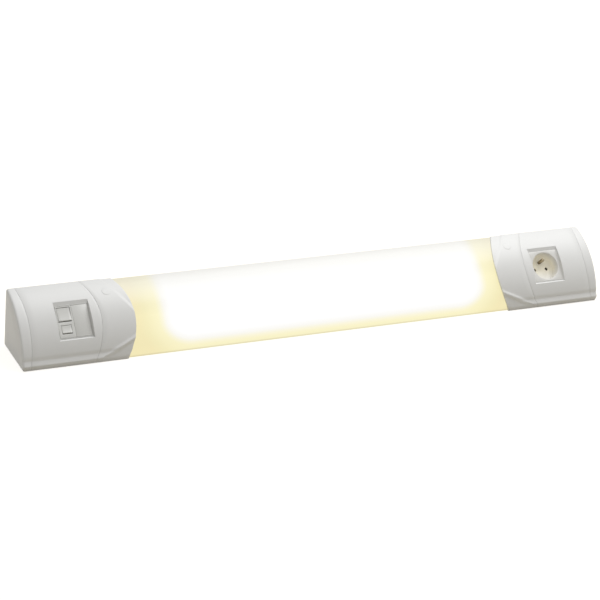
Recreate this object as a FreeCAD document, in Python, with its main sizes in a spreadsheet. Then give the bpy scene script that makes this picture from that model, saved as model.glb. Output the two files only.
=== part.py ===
"""Slim wall light with a switch box at its left end and a mains socket box at its right end.

Row frame, millimetres: X along the fitting with 0 at its middle, the wall is the plane Y = 0 and
the fitting stands out of it towards -Y, +Z is up, and Z = 0 is the height of the wall screws.

Two frames are used below.  The floor frame has Z = 0 on the flat underside.  The face frame has its
origin on the axis of the convex front: x along the fitting, y up along the sloping front, z out of it.
"""

import FreeCAD, Part
import os
import Sketcher
from FreeCAD import Placement, Rotation, Vector

doc = FreeCAD.newDocument("wall_light_with_socket")
sheet = doc.addObject("Spreadsheet::Sheet", "Sizes")

SIZES = {
    # Whole fitting
    "overall_length": 855,
    "arc_radius": 98,
    "arc_behind_wall": 16.8,
    "arc_below_base": 14.5,
    "module_angle": 44,
    "wall_screw_height": 38,
    # Skirt along the bottom front edge
    "arc_end_height": 17,
    "crease_setback": 5.2,
    "crease_height": 13,
    "nose_setback": 1.2,
    "nose_height": 7.4,
    "root_setback": 4,
    "top_edge_ease": 1.5,
    # Moulded covers
    "cover_wall": 2.2,
    "cover_inner_setback": 7.6,
    "hook_depth": 10,
    "hook_drop": 7.8,
    "seam_gap": 0.4,
    # Seams, at the middle of the front; the collar covers the end of the tube
    "cap_seam": 14.5,
    "cap_seam_radius": 380,
    "collar_seam_before_tube": 41,
    "collar_end_past_tube": 5,
    "collar_seam_radius": 111,
    # Sloping corners of the collars
    "upper_corner_before_seam": 2,
    "upper_corner_fall": 0.12,
    "upper_corner_out_fall": 0.031,
    "lower_corner_before_seam": 3,
    "lower_corner_rise_before_seam": 9.5,
    "lower_corner_rise": 0.24,
    "lower_corner_out_before_seam": 15.2,
    "lower_corner_out_rise": 0.074,
    "collar_lip": 1.1,
    # End caps
    "cap_round": 3,
    "tongue_length": 17,
    "tongue_width": 20,
    "tongue_thick": 3,
    "tongue_place": 30,
    # Folded steel chassis
    "sheet_thick": 1,
    "chassis_gap": 0.3,
    "chassis_lip": 8,
    "chassis_hook": 9,
    "bend_radius": 1.6,
    "chassis_end_gap": 0.5,
    "wall_slot_width": 5.4,
    "wall_slot_length": 12,
    # Cable entry
    "cable_entry_past_tube_end": 39.5,
    "cable_entry_height": 35,
    "cable_bore": 10,
    "grommet_neck": 13.6,
    "grommet_flange": 18,
    "grommet_flange_thick": 1.8,
    "grommet_length": 6,
    "grommet_gap": 0.1,
    # Diffuser
    "diffuser_inset": 2.5,
    "diffuser_wall": 1.6,
    "diffuser_gap": 0.3,
    "diffuser_before_tube": 17,
    "diffuser_setback": 5.9,
    "diffuser_foot_height": 0.4,
    # Lamp, a 549 mm tube with two pins at each end
    "tube_end_room": 153,
    "tube_diameter": 16,
    "tube_cap_length": 9,
    "tube_cap_diameter": 16.4,
    "tube_pin": 2.4,
    "tube_pin_pitch": 4.75,
    "tube_pin_length": 7,
    "tube_inset": 18,
    # Lamp holders and the brackets that carry them
    "holder_width": 17,
    "holder_thick": 9,
    "holder_foot": 12.2,
    "holder_gap": 0.3,
    "holder_slot_height": 3.2,
    "holder_slot_depth": 7.6,
    "bracket_inset": 4.5,
    "bracket_gap": 0.3,
    "bracket_foot": 11,
    "collar_screw_angle": 65.3,
    "collar_screw_before_tube": 25.5,
    "tab_inset": 11,
    "tab_width": 16,
    "tab_length": 24,
    # Collar screws under round plugs
    "plug_diameter": 11.6,
    "plug_thick": 1.8,
    "plug_gap": 0.15,
    "plug_proud": 0.25,
    "boss_diameter": 15,
    "screw_head": 7,
    "screw_head_height": 2.4,
    "screw_shank": 3.5,
    "screw_length": 11,
    "screw_clearance": 0.3,
    # Reflector over the control gear
    "reflector_thick": 0.6,
    "reflector_setback": 12.3,
    "reflector_flange": 8,
    # Control gear
    "ballast_past_tube_end": 134.5,
    "ballast_width": 30,
    "ballast_height": 21,
    "ballast_back": 5,
    "ballast_ear": 12,
    "ballast_ear_thick": 2,
    "ballast_screw_hole": 4.2,
    # Terminal block
    "terminal_length": 30,
    "terminal_width": 17,
    "terminal_height": 15,
    "terminal_past_tube_end": 84.5,
    "terminal_back": 8,
    "terminal_pole_pitch": 10,
    "terminal_well": 5,
    # Module openings in the end boxes
    "module_before_seam": 36.4,
    "module_drop": 5,
    "module_size": 45.4,
    "module_width": 46.6,
    "window_width": 47.2,
    "window_half_height": 22.9,
    "window_top": 27.4,
    "window_bottom": 25.4,
    "window_wall": 2.2,
    "window_depth": 9,
    "window_sill": 0.6,
    "flange_width": 52,
    "flange_top": 31,
    "flange_bottom": 29.5,
    "flange_thick": 1.6,
    "flange_gap": 0.2,
    "module_screw_across": 36,
    "module_screw_high": 28.2,
    "module_screw_low": 26.6,
    "module_screw_hole": 2.6,
    # Switch
    "frame_rim": 1,
    "frame_ledge": 1.6,
    "insert_gap": 0.3,
    "insert_split": 0.2,
    "insert_depth": 8.2,
    "insert_wall": 1.4,
    "insert_plate": 1.6,
    "rocker_split": 11.1,
    "upper_rocker_width": 17.6,
    "upper_rocker_height": 18.2,
    "upper_rocker_place": 10.1,
    "lower_rocker_width": 13.4,
    "lower_rocker_height": 10.4,
    "lower_rocker_place": -10.2,
    "rocker_gap": 0.3,
    "rocker_tilt": 6,
    "rocker_pivot_depth": 4.2,
    "rocker_plate": 2,
    "rocker_proud": 0.2,
    "rocker_stem_inset": 3.6,
    "rocker_pin": 2,
    "pivot_clearance": 0.05,
    "pivot_ear": 1.3,
    "pivot_ear_gap": 0.25,
    "switch_body_depth": 26,
    "switch_body_width": 19.8,
    "switch_body_height": 39.4,
    "switch_body_top": 8.8,
    # Socket
    "well_diameter": 39.4,
    "well_depth": 15.5,
    "well_wall": 1.6,
    "well_floor": 2.5,
    "well_rim": 0.8,
    "socket_plate_thick": 1.8,
    "pin_hole": 5,
    "pin_pitch": 19,
    "earth_pin": 4.8,
    "earth_pin_rise": 10,
    "earth_pin_length": 14,
    "earth_root": 4.2,
    "earth_shoulder": 0.2,
    "contact_diameter": 7.6,
    "contact_length": 12,
    "contact_gap": 0.1,
    "socket_body_size": 39,
    "socket_body_depth": 15,
}

# Sizes that follow from others.  Depths are off the wall, heights over the underside, and places along
# the fitting are from its end, apart from the two that are from its middle.
LINKED_SIZES = {
    "front_depth": "arc_radius - arc_behind_wall",
    "top_height": "arc_radius - arc_below_base",
    "crease_depth": "front_depth - crease_setback",
    "nose_depth": "front_depth - nose_setback",
    "root_depth": "front_depth - root_setback",
    "cover_inner_depth": "front_depth - cover_inner_setback",
    "hook_height": "top_height - hook_drop",
    "chassis_depth": "cover_inner_depth - chassis_gap",
    "chassis_top": "hook_height - chassis_gap",
    "reflector_leg": "chassis_depth - reflector_setback",
    "diffuser_radius": "arc_radius - diffuser_inset",
    "diffuser_front_depth": "front_depth - diffuser_setback",
    "diffuser_foot_depth": "cover_inner_depth",
    "bracket_radius": "arc_radius - bracket_inset",
    "tab_radius": "arc_radius - tab_inset",
    "tube_radius_place": "arc_radius - tube_inset",
    "tube_length": "overall_length - 2 * tube_end_room",
    "ballast_length": "tube_length - 2 * ballast_past_tube_end",
    "collar_seam": "tube_end_room - collar_seam_before_tube",
    "collar_end": "tube_end_room + collar_end_past_tube",
    "collar_screw_place": "tube_end_room - collar_screw_before_tube",
    "diffuser_start": "tube_end_room - diffuser_before_tube",
    "module_place": "collar_seam - module_before_seam",
    "upper_corner_start": "collar_seam - upper_corner_before_seam",
    "upper_corner_out_start": "collar_end",
    "lower_corner_start": "collar_seam - lower_corner_before_seam",
    "lower_corner_rise_start": "collar_seam - lower_corner_rise_before_seam",
    "lower_corner_out_start": "collar_seam - lower_corner_out_before_seam",
    "wall_screw_spacing": "overall_length - 2 * collar_screw_place",
    "cable_entry_place": "tube_length / 2 - cable_entry_past_tube_end",
    "terminal_place": "tube_length / 2 - terminal_past_tube_end",
}

rows = {**SIZES, **{alias: "=" + formula for alias, formula in LINKED_SIZES.items()}}
for row, (alias, content) in enumerate(rows.items(), start=1):
    sheet.set(f"A{row}", alias)
    sheet.set(f"B{row}", str(content))
    sheet.setAlias(f"B{row}", alias)
doc.recompute()

# Expressions that several sub-parts share
HALF = "(Sizes.overall_length / 2)"
FACE_RADIUS = "(Sizes.arc_radius - Sizes.module_drop)"
PIVOT_HEIGHT = "-Sizes.rocker_pivot_depth"


def value(expression):
    """Number that an expression of the sheet's aliases has now."""
    return float(sheet.evalExpression(expression))


def bind(thing, **expressions):
    """Bind properties; a double underscore stands for a dot in the property's path."""
    for name, expression in expressions.items():
        thing.setExpression(name.replace("__", "."), expression)
    return thing


# Places

def turn_about_x(thing, angle):
    thing.Placement = Placement(Vector(), Rotation(Vector(1, 0, 0), 1))
    thing.setExpression("Placement.Rotation.Angle", angle)


def put_on_floor(thing):
    """Floor frame to row frame."""
    return bind(thing, Placement__Base__z="-Sizes.wall_screw_height")


def put_on_face(thing, x="0", y="0", z="0", tilt="0"):
    """Face frame point (x, y, z) to row frame, the thing's own z out of the front."""
    turn_about_x(thing, f"90 - Sizes.module_angle + ({tilt})")
    depth = f"({z}) * cos(Sizes.module_angle) - ({y}) * sin(Sizes.module_angle)"
    rise = f"({z}) * sin(Sizes.module_angle) + ({y}) * cos(Sizes.module_angle)"
    return bind(
        thing,
        Placement__Base__x=x,
        Placement__Base__y=f"Sizes.arc_behind_wall - ({depth})",
        Placement__Base__z=f"{rise} - Sizes.arc_below_base - Sizes.wall_screw_height",
    )


def put_floor_in_face(thing):
    """Floor frame to face frame, for a blank drawn on the floor and cut in the face frame."""
    turn_about_x(thing, "Sizes.module_angle - 90")
    behind = "Sizes.arc_behind_wall"
    below = "Sizes.arc_below_base"
    return bind(
        thing,
        Placement__Base__y=f"{below} * cos(Sizes.module_angle) - {behind} * sin(Sizes.module_angle)",
        Placement__Base__z=f"{behind} * cos(Sizes.module_angle) + {below} * sin(Sizes.module_angle)",
    )


# Sketches

def body(label):
    made = doc.addObject("PartDesign::Body", label)
    made.Label = label
    return made


def sketch_on(owner, role, offset="0"):
    made = owner.newObject("Sketcher::SketchObject", owner.Label + "_sketch")
    plane = next(f for f in owner.Origin.OriginFeatures if f.Role == role)
    made.AttachmentSupport = [(plane, "")]
    made.MapMode = "FlatFace"
    made.setExpression("AttachmentOffset.Base.z", offset)
    return made


def pin_down(sketch, kind, geometry, point, expression):
    if value(expression) == 0:
        other = Sketcher.Constraint("PointOnObject", geometry, point, -2 if kind == "DistanceX" else -1)
        sketch.addConstraint(other)
        return
    distance = Sketcher.Constraint(kind, -1, 1, geometry, point, value(expression))
    number = sketch.addConstraint(distance)
    sketch.setExpression(f"Constraints[{number}]", expression)


def outline(sketch, corners, arcs=None):
    """Closed outline. Each corner is (x, y) in expressions; "~" before one means the arc there sets it.

    arcs gives, for the side that starts at a corner's number, the arc's (centre x, centre y, radius).
    """
    arcs = arcs or {}
    spots = [Vector(value(x.lstrip("~")), value(y.lstrip("~")), 0) for x, y in corners]
    ends = []
    for side, start in enumerate(spots):
        stop = spots[(side + 1) % len(spots)]
        if side not in arcs:
            ends.append((sketch.addGeometry(Part.LineSegment(start, stop)), 1, 2))
            continue
        centre_x, centre_y, radius = arcs[side]
        centre = Vector(value(centre_x), value(centre_y), 0)
        ahead = (start - centre).cross(stop - centre).z > -1e-6
        first, last = (start, stop) if ahead else (stop, start)
        circle = Part.Circle(centre, Vector(0, 0, 1), value(radius))
        curve = Part.ArcOfCircle(circle, circle.parameter(first), circle.parameter(last))
        number = sketch.addGeometry(curve)
        ends.append((number, 1, 2) if ahead else (number, 2, 1))
        pin_down(sketch, "DistanceX", number, 3, centre_x)
        pin_down(sketch, "DistanceY", number, 3, centre_y)
        round_size = sketch.addConstraint(Sketcher.Constraint("Radius", number, value(radius)))
        sketch.setExpression(f"Constraints[{round_size}]", radius)
    for side, (geometry, start, _) in enumerate(ends):
        before, _, stop = ends[side - 1]
        sketch.addConstraint(Sketcher.Constraint("Coincident", before, stop, geometry, start))
        for kind, coordinate in zip(("DistanceX", "DistanceY"), corners[side]):
            if not coordinate.startswith("~"):
                pin_down(sketch, kind, geometry, start, coordinate)


def rectangle(sketch, left, bottom, right, top):
    outline(sketch, [(left, bottom), (right, bottom), (right, top), (left, top)])


def disc(sketch, x, y, diameter):
    circle = Part.Circle(Vector(value(x), value(y), 0), Vector(0, 0, 1), value(diameter) / 2)
    number = sketch.addGeometry(circle)
    pin_down(sketch, "DistanceX", number, 3, x)
    pin_down(sketch, "DistanceY", number, 3, y)
    size = sketch.addConstraint(Sketcher.Constraint("Diameter", number, value(diameter)))
    sketch.setExpression(f"Constraints[{size}]", diameter)


# Features

def pad(owner, sketch, length, backwards=False):
    made = owner.newObject("PartDesign::Pad", owner.Label + "_pad")
    made.Profile = sketch
    made.Reversed = backwards
    made.setExpression("Length", length)
    doc.recompute()
    return made


def pocket(owner, sketch, depth=None, forwards=False):
    """Cut against the sketch's normal, or along it when forwards, through all without a depth."""
    volume = owner.Shape.Volume
    made = owner.newObject("PartDesign::Pocket", owner.Label + "_pocket")
    made.Profile = sketch
    made.Reversed = forwards
    if depth is None:
        made.Type = "ThroughAll"
    else:
        made.setExpression("Length", depth)
    doc.recompute()
    if owner.Shape.Volume >= volume:
        raise RuntimeError(f"a pocket of {owner.Label} cuts nothing")
    return made


def revolve(owner, sketch, axis):
    made = owner.newObject("PartDesign::Revolution", owner.Label + "_turned")
    made.Profile = sketch
    made.ReferenceAxis = (sketch, [axis])
    made.Angle = 360
    doc.recompute()
    return made


def round_edges(owner, radius, wanted):
    """Fillet the edges of the body's last feature that the test picks."""
    names = [f"Edge{n}" for n, edge in enumerate(owner.Tip.Shape.Edges, start=1) if wanted(edge)]
    if not names:
        raise RuntimeError(f"no edge of {owner.Label} to round")
    base = owner.Tip
    made = owner.newObject("PartDesign::Fillet", owner.Label + "_round")
    made.Base = (base, names)
    made.setExpression("Radius", radius)
    doc.recompute()
    return made


def runs_along(edge, direction):
    """Is it a straight edge along this direction?"""
    return isinstance(edge.Curve, Part.Line) and abs(abs(edge.Curve.Direction.dot(direction)) - 1) < 1e-6


# Solids and booleans

def cylinder(name, radius, length, x="0", y="0", z="0", along="z"):
    made = doc.addObject("Part::Cylinder", name)
    if along == "x":
        made.Placement = Placement(Vector(), Rotation(Vector(0, 1, 0), 90))
    return bind(
        made, Radius=radius, Height=length,
        Placement__Base__x=x, Placement__Base__y=y, Placement__Base__z=z,
    )


def block(name, low, high):
    """Box between two corners given in expressions."""
    made = doc.addObject("Part::Box", name)
    spans = [f"({b}) - ({a})" for a, b in zip(low, high)]
    return bind(
        made, Length=spans[0], Width=spans[1], Height=spans[2],
        Placement__Base__x=low[0], Placement__Base__y=low[1], Placement__Base__z=low[2],
    )


def cut(name, base, *tools):
    made = doc.addObject("Part::Cut", name)
    made.Base = base
    made.Tool = tools[0] if len(tools) == 1 else join(name + "_tools", *tools)
    doc.recompute()
    return made


def join(name, *pieces):
    made = doc.addObject("Part::MultiFuse", name)
    made.Shapes = list(pieces)
    doc.recompute()
    return made


def overlap(name, *pieces):
    made = doc.addObject("Part::MultiCommon", name)
    made.Shapes = list(pieces)
    doc.recompute()
    return made


def group(name, *pieces):
    made = doc.addObject("Part::Compound", name)
    made.Links = list(pieces)
    doc.recompute()
    return made


def mirrored(name, source):
    made = doc.addObject("Part::Mirroring", name)
    made.Source = source
    made.Normal = Vector(1, 0, 0)
    doc.recompute()
    return made


# Section of the moulded covers, floor frame

def arc_height(depth, radius="Sizes.arc_radius"):
    """Height over the underside, at a depth from the wall, of an arc about the front's axis."""
    return f"sqrt(({radius})^2 - (Sizes.arc_behind_wall + {depth})^2) - Sizes.arc_below_base"


def arc_depth(height, radius="Sizes.arc_radius"):
    return f"(sqrt(({radius})^2 - (Sizes.arc_below_base + {height})^2) - Sizes.arc_behind_wall)"


def inner_height(depth):
    return arc_height(depth, "Sizes.arc_radius - Sizes.cover_wall")


OUTER_ARC = ("Sizes.arc_behind_wall", "-Sizes.arc_below_base", "Sizes.arc_radius")
INNER_ARC = ("Sizes.arc_behind_wall", "-Sizes.arc_below_base", "Sizes.arc_radius - Sizes.cover_wall")

FRONT_CORNERS = [
    ("-Sizes.top_edge_ease", "~" + arc_height("Sizes.top_edge_ease")),
    ("~-" + arc_depth("Sizes.arc_end_height"), "Sizes.arc_end_height"),
    ("-Sizes.crease_depth", "Sizes.crease_height"),
    ("-Sizes.nose_depth", "Sizes.nose_height"),
    ("-Sizes.root_depth", "0"),
]


def cover_blank(name, start, stop, skirt_depth, hook):
    """Moulded cover wall with its skirt, from start to stop; a hook rides on the chassis if asked."""
    made = body(name)
    drawing = sketch_on(made, "YZ_Plane", start)
    back = [("0", "~" + inner_height("0"))]
    if hook:
        back = [
            ("-Sizes.hook_depth", "~" + inner_height("Sizes.hook_depth")),
            ("-Sizes.hook_depth", "Sizes.hook_height"),
            ("0", "Sizes.hook_height"),
        ]
    corners = FRONT_CORNERS + [
        (f"-({skirt_depth})", "0"),
        (f"-({skirt_depth})", "~" + inner_height(skirt_depth)),
        *back,
        ("0", arc_height("Sizes.top_edge_ease") + " - Sizes.top_edge_ease"),
    ]
    outline(drawing, corners, {0: OUTER_ARC, 6: INNER_ARC})
    pad(made, drawing, f"({stop}) - ({start})")
    return put_floor_in_face(made)


def seam_knife(name, apex, radius, extra="0"):
    """Upright cylinder whose edge is a bowed seam; apex is its place from the left end."""
    return cylinder(
        name, f"{radius} + ({extra})", "2 * Sizes.arc_radius",
        x=f"-{HALF} + ({apex}) - {radius}", z="-Sizes.arc_radius / 2",
    )


# Chassis, reflector and control gear

def back_chassis():
    """Folded sheet: back leg on the wall, bottom leg, front lip and top hook."""
    made = body("back_chassis")
    reach = f"({HALF} - Sizes.cap_seam - Sizes.chassis_end_gap)"
    drawing = sketch_on(made, "YZ_Plane", f"-{reach}")
    t = "Sizes.sheet_thick"
    outline(drawing, [
        ("0", "0"),
        ("-Sizes.chassis_depth", "0"),
        ("-Sizes.chassis_depth", "Sizes.chassis_lip"),
        (f"-Sizes.chassis_depth + {t}", "Sizes.chassis_lip"),
        (f"-Sizes.chassis_depth + {t}", t),
        (f"-{t}", t),
        (f"-{t}", f"Sizes.chassis_top - {t}"),
        ("-Sizes.chassis_hook", f"Sizes.chassis_top - {t}"),
        ("-Sizes.chassis_hook", "Sizes.chassis_top"),
        ("0", "Sizes.chassis_top"),
    ])
    pad(made, drawing, f"2 * {reach}")
    outer_bends = [(0, 0), (-value("Sizes.chassis_depth"), 0), (0, value("Sizes.chassis_top"))]
    long_edge = Vector(1, 0, 0)

    def is_outer_bend(edge):
        point = edge.Vertexes[0].Point
        return runs_along(edge, long_edge) and any(
            abs(point.y - y) + abs(point.z - z) < 1e-6 for y, z in outer_bends)

    round_edges(made, "Sizes.bend_radius", is_outer_bend)
    cut_wall_slots(made)
    cut_chassis_holes(made)
    return put_on_floor(made)


def cut_wall_slots(made):
    """Two level slots for the wall screws."""
    straight = "(Sizes.wall_slot_length - Sizes.wall_slot_width) / 2"
    half_width = "Sizes.wall_slot_width / 2"
    for side in ("-", ""):
        centre = f"{side}Sizes.wall_screw_spacing / 2"
        drawing = sketch_on(made, "XZ_Plane")
        middle = "Sizes.wall_screw_height"
        rectangle(drawing, f"{centre} - {straight}", f"{middle} - {half_width}",
                  f"{centre} + {straight}", f"{middle} + {half_width}")
        pocket(made, drawing, "2 * Sizes.sheet_thick", forwards=True)
        for end in ("-", "+"):
            drawing = sketch_on(made, "XZ_Plane")
            disc(drawing, f"{centre} {end} {straight}", middle, "Sizes.wall_slot_width")
            pocket(made, drawing, "2 * Sizes.sheet_thick", forwards=True)


def cut_chassis_holes(made):
    """Cable entry in the back leg, screw holes for the control gear and end caps in the bottom leg."""
    drawing = sketch_on(made, "XZ_Plane")
    disc(drawing, "-Sizes.cable_entry_place", "Sizes.cable_entry_height",
         "Sizes.grommet_neck + 2 * Sizes.grommet_gap")
    pocket(made, drawing, "2 * Sizes.sheet_thick", forwards=True)
    drawing = sketch_on(made, "XY_Plane")
    for side in ("-", ""):
        disc(drawing, f"{side}{BALLAST_SCREW_X}", BALLAST_SCREW_Y, "Sizes.screw_shank")
        disc(drawing, f"{side}{CAP_SCREW_X}", "-Sizes.tongue_place", "Sizes.screw_shank")
    pocket(made, drawing, "2 * Sizes.sheet_thick", forwards=True)


BALLAST_SCREW_X = "(Sizes.ballast_length / 2 + Sizes.ballast_ear / 2)"
BALLAST_SCREW_Y = "-Sizes.ballast_back - Sizes.ballast_width / 2"
CAP_SCREW_X = f"({HALF} - Sizes.cap_seam - Sizes.tongue_length * 0.55)"
TUBE_HALF = "(Sizes.tube_length / 2)"
HOLDER_X = f"({TUBE_HALF} + Sizes.holder_gap + Sizes.holder_thick)"


def reflector():
    """White folded sheet across the corner, in front of the control gear."""
    made = body("reflector")
    reach = f"({HOLDER_X} - Sizes.bracket_gap)"
    drawing = sketch_on(made, "YZ_Plane", f"-{reach}")
    t = "Sizes.sheet_thick"
    thick = "Sizes.reflector_thick"
    leg = "Sizes.reflector_leg"
    flange = "Sizes.reflector_flange"
    slope = f"{thick} * 0.4142"
    outline(drawing, [
        (f"-{t}", f"{leg}"),
        (f"-{t}", f"{leg} + {flange}"),
        (f"-{t} - {thick}", f"{leg} + {flange}"),
        (f"-{t} - {thick}", f"{leg} + {slope}"),
        (f"-{leg} - {slope}", f"{t} + {thick}"),
        (f"-{leg} - {flange}", f"{t} + {thick}"),
        (f"-{leg} - {flange}", t),
        (f"-{leg}", t),
    ])
    pad(made, drawing, f"2 * {reach}")
    return put_on_floor(made)


def ballast():
    """Electronic control gear with a screw ear at each end and a connector step."""
    made = body("ballast")
    half = "Sizes.ballast_length / 2"
    back = "Sizes.ballast_back"
    front = f"-{back} - Sizes.ballast_width"
    t = "Sizes.sheet_thick"
    drawing = sketch_on(made, "XY_Plane", t)
    rectangle(drawing, f"-{half}", front, half, f"-{back}")
    pad(made, drawing, "Sizes.ballast_height")
    round_edges(made, "2", lambda edge: runs_along(edge, Vector(1, 0, 0))
                and edge.Vertexes[0].Z > value("Sizes.ballast_height"))
    drawing = sketch_on(made, "XY_Plane", t)
    rectangle(drawing, f"-{half} - Sizes.ballast_ear", f"{front} + 4",
              f"{half} + Sizes.ballast_ear", f"-{back} - 4")
    pad(made, drawing, "Sizes.ballast_ear_thick")
    drawing = sketch_on(made, "XY_Plane", f"{t} + Sizes.ballast_height")
    rectangle(drawing, f"{half} - 14", f"{front} + 3", f"{half} + 1", f"-{back} - 3")
    pocket(made, drawing, "5")
    drawing = sketch_on(made, "XY_Plane", t)
    for side in ("-", ""):
        disc(drawing, f"{side}{BALLAST_SCREW_X}", BALLAST_SCREW_Y, "Sizes.ballast_screw_hole")
    pocket(made, drawing, "Sizes.ballast_ear_thick + 1", forwards=True)
    return put_on_floor(made)


def floor_screw(name, x, y, seat, length):
    """Round-headed screw pointing down, its head's underside at the seat height."""
    made = body(name)
    drawing = sketch_on(made, "XZ_Plane", f"-({y})")
    x0 = f"({x})"
    head = f"{x0} + Sizes.screw_head / 2"
    shank = f"{x0} + Sizes.screw_shank / 2 - Sizes.screw_clearance / 2"
    outline(drawing, [
        (x0, f"{seat} - ({length})"),
        (f"{shank} - 0.4", f"{seat} - ({length})"),
        (shank, f"{seat} - ({length}) + 0.6"),
        (shank, seat),
        (head, seat),
        (head, f"{seat} + Sizes.screw_head_height * 0.45"),
        (f"{x0} + Sizes.screw_head * 0.3", f"{seat} + Sizes.screw_head_height"),
        (x0, f"{seat} + Sizes.screw_head_height"),
    ])
    made_turn = made.newObject("PartDesign::Revolution", name + "_turned")
    made_turn.Profile = drawing
    side = len(drawing.Geometry) - 1
    made_turn.ReferenceAxis = (drawing, [f"Edge{side + 1}"])
    made_turn.Angle = 360
    doc.recompute()
    cross = sketch_on(made, "XY_Plane", f"{seat} + Sizes.screw_head_height")
    arm = "Sizes.screw_head * 0.28"
    narrow = "Sizes.screw_head * 0.07"
    outline(cross, [
        (f"{x0} - {arm}", f"({y}) - {narrow}"), (f"{x0} - {narrow}", f"({y}) - {narrow}"),
        (f"{x0} - {narrow}", f"({y}) - {arm}"), (f"{x0} + {narrow}", f"({y}) - {arm}"),
        (f"{x0} + {narrow}", f"({y}) - {narrow}"), (f"{x0} + {arm}", f"({y}) - {narrow}"),
        (f"{x0} + {arm}", f"({y}) + {narrow}"), (f"{x0} + {narrow}", f"({y}) + {narrow}"),
        (f"{x0} + {narrow}", f"({y}) + {arm}"), (f"{x0} - {narrow}", f"({y}) + {arm}"),
        (f"{x0} - {narrow}", f"({y}) + {narrow}"), (f"{x0} - {arm}", f"({y}) + {narrow}"),
    ])
    pocket(made, cross, "Sizes.screw_head_height * 0.5")
    return put_on_floor(made)


def gear_screws():
    """The two screws of the control gear."""
    seat = "Sizes.sheet_thick + Sizes.ballast_ear_thick"
    pair = [floor_screw(f"gear_screw_{name}", f"{side}{BALLAST_SCREW_X}", BALLAST_SCREW_Y, seat,
                        f"{seat} - 0.2")
            for name, side in (("left", "-"), ("right", ""))]
    return group("gear_screws", *pair)


def end_cap_screws():
    """The two screws through the caps' tongues into the chassis."""
    seat = "Sizes.sheet_thick + Sizes.tongue_thick"
    pair = [floor_screw(f"cap_screw_{name}", f"{side}{CAP_SCREW_X}", "-Sizes.tongue_place", seat,
                        f"{seat} - 0.2")
            for name, side in (("left", "-"), ("right", ""))]
    return group("end_cap_screws", *pair)


def terminal_block():
    """Three-pole block beside the cable entry, a screw well and a wire funnel to each pole."""
    made = body("terminal_block")
    middle = "-Sizes.terminal_place"
    half = "Sizes.terminal_length / 2"
    back = "Sizes.terminal_back"
    front = f"-{back} - Sizes.terminal_width"
    drawing = sketch_on(made, "XY_Plane", "Sizes.sheet_thick")
    rectangle(drawing, f"{middle} - {half}", front, f"{middle} + {half}", f"-{back}")
    pad(made, drawing, "Sizes.terminal_height")
    for pole in (-1, 0, 1):
        x = f"{middle} + ({pole}) * Sizes.terminal_pole_pitch"
        drawing = sketch_on(made, "XY_Plane", "Sizes.sheet_thick + Sizes.terminal_height")
        disc(drawing, x, f"-{back} - Sizes.terminal_width / 2", "Sizes.terminal_well")
        pocket(made, drawing, "Sizes.terminal_height * 0.4")
        drawing = sketch_on(made, "XZ_Plane", f"{back} + Sizes.terminal_width")
        disc(drawing, x, "Sizes.sheet_thick + Sizes.terminal_height * 0.35", "Sizes.terminal_well")
        pocket(made, drawing, "Sizes.terminal_width * 0.35")
    return put_on_floor(made)


def cable_grommet():
    """Rubber bush in the cable entry, its flange inside."""
    made = body("cable_grommet")
    drawing = sketch_on(made, "XY_Plane")
    bore = "Sizes.cable_bore / 2"
    neck = "Sizes.grommet_neck / 2"
    wide = "Sizes.grommet_flange / 2"
    t = "Sizes.sheet_thick"
    outline(drawing, [
        (bore, "-0.1"), (neck, "-0.1"), (neck, f"-{t}"), (wide, f"-{t}"),
        (wide, f"-{t} - Sizes.grommet_flange_thick"), (neck, f"-{t} - Sizes.grommet_flange_thick"),
        (f"{neck} - 0.8", "-Sizes.grommet_length"), (bore, "-Sizes.grommet_length"),
    ])
    revolve(made, drawing, "V_Axis")
    return bind(made, Placement__Base__x="-Sizes.cable_entry_place",
                Placement__Base__z="Sizes.cable_entry_height - Sizes.wall_screw_height")


# Lamp

def fluorescent_tube():
    """Sealed tube with metal caps and two pins at each end."""
    made = body("fluorescent_tube")
    drawing = sketch_on(made, "XZ_Plane")
    glass = "Sizes.tube_diameter / 2"
    cap = "Sizes.tube_cap_diameter / 2"
    shoulder = f"({TUBE_HALF} - Sizes.tube_cap_length)"
    outline(drawing, [
        (f"-{TUBE_HALF}", "0"), (TUBE_HALF, "0"), (TUBE_HALF, f"{cap} - 0.8"),
        (f"{TUBE_HALF} - 0.8", cap), (shoulder, cap), (shoulder, glass),
        (f"-{shoulder}", glass), (f"-{shoulder}", cap), (f"-{TUBE_HALF} + 0.8", cap),
        (f"-{TUBE_HALF}", f"{cap} - 0.8"),
    ])
    revolve(made, drawing, "H_Axis")
    drawing = sketch_on(made, "YZ_Plane", f"-{TUBE_HALF} - Sizes.tube_pin_length")
    for side in ("-", ""):
        disc(drawing, f"{side}Sizes.tube_pin_pitch / 2", "0", "Sizes.tube_pin")
    pad(made, drawing, f"2 * ({TUBE_HALF} + Sizes.tube_pin_length)")
    return put_on_face(made, z="Sizes.tube_radius_place")


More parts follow.
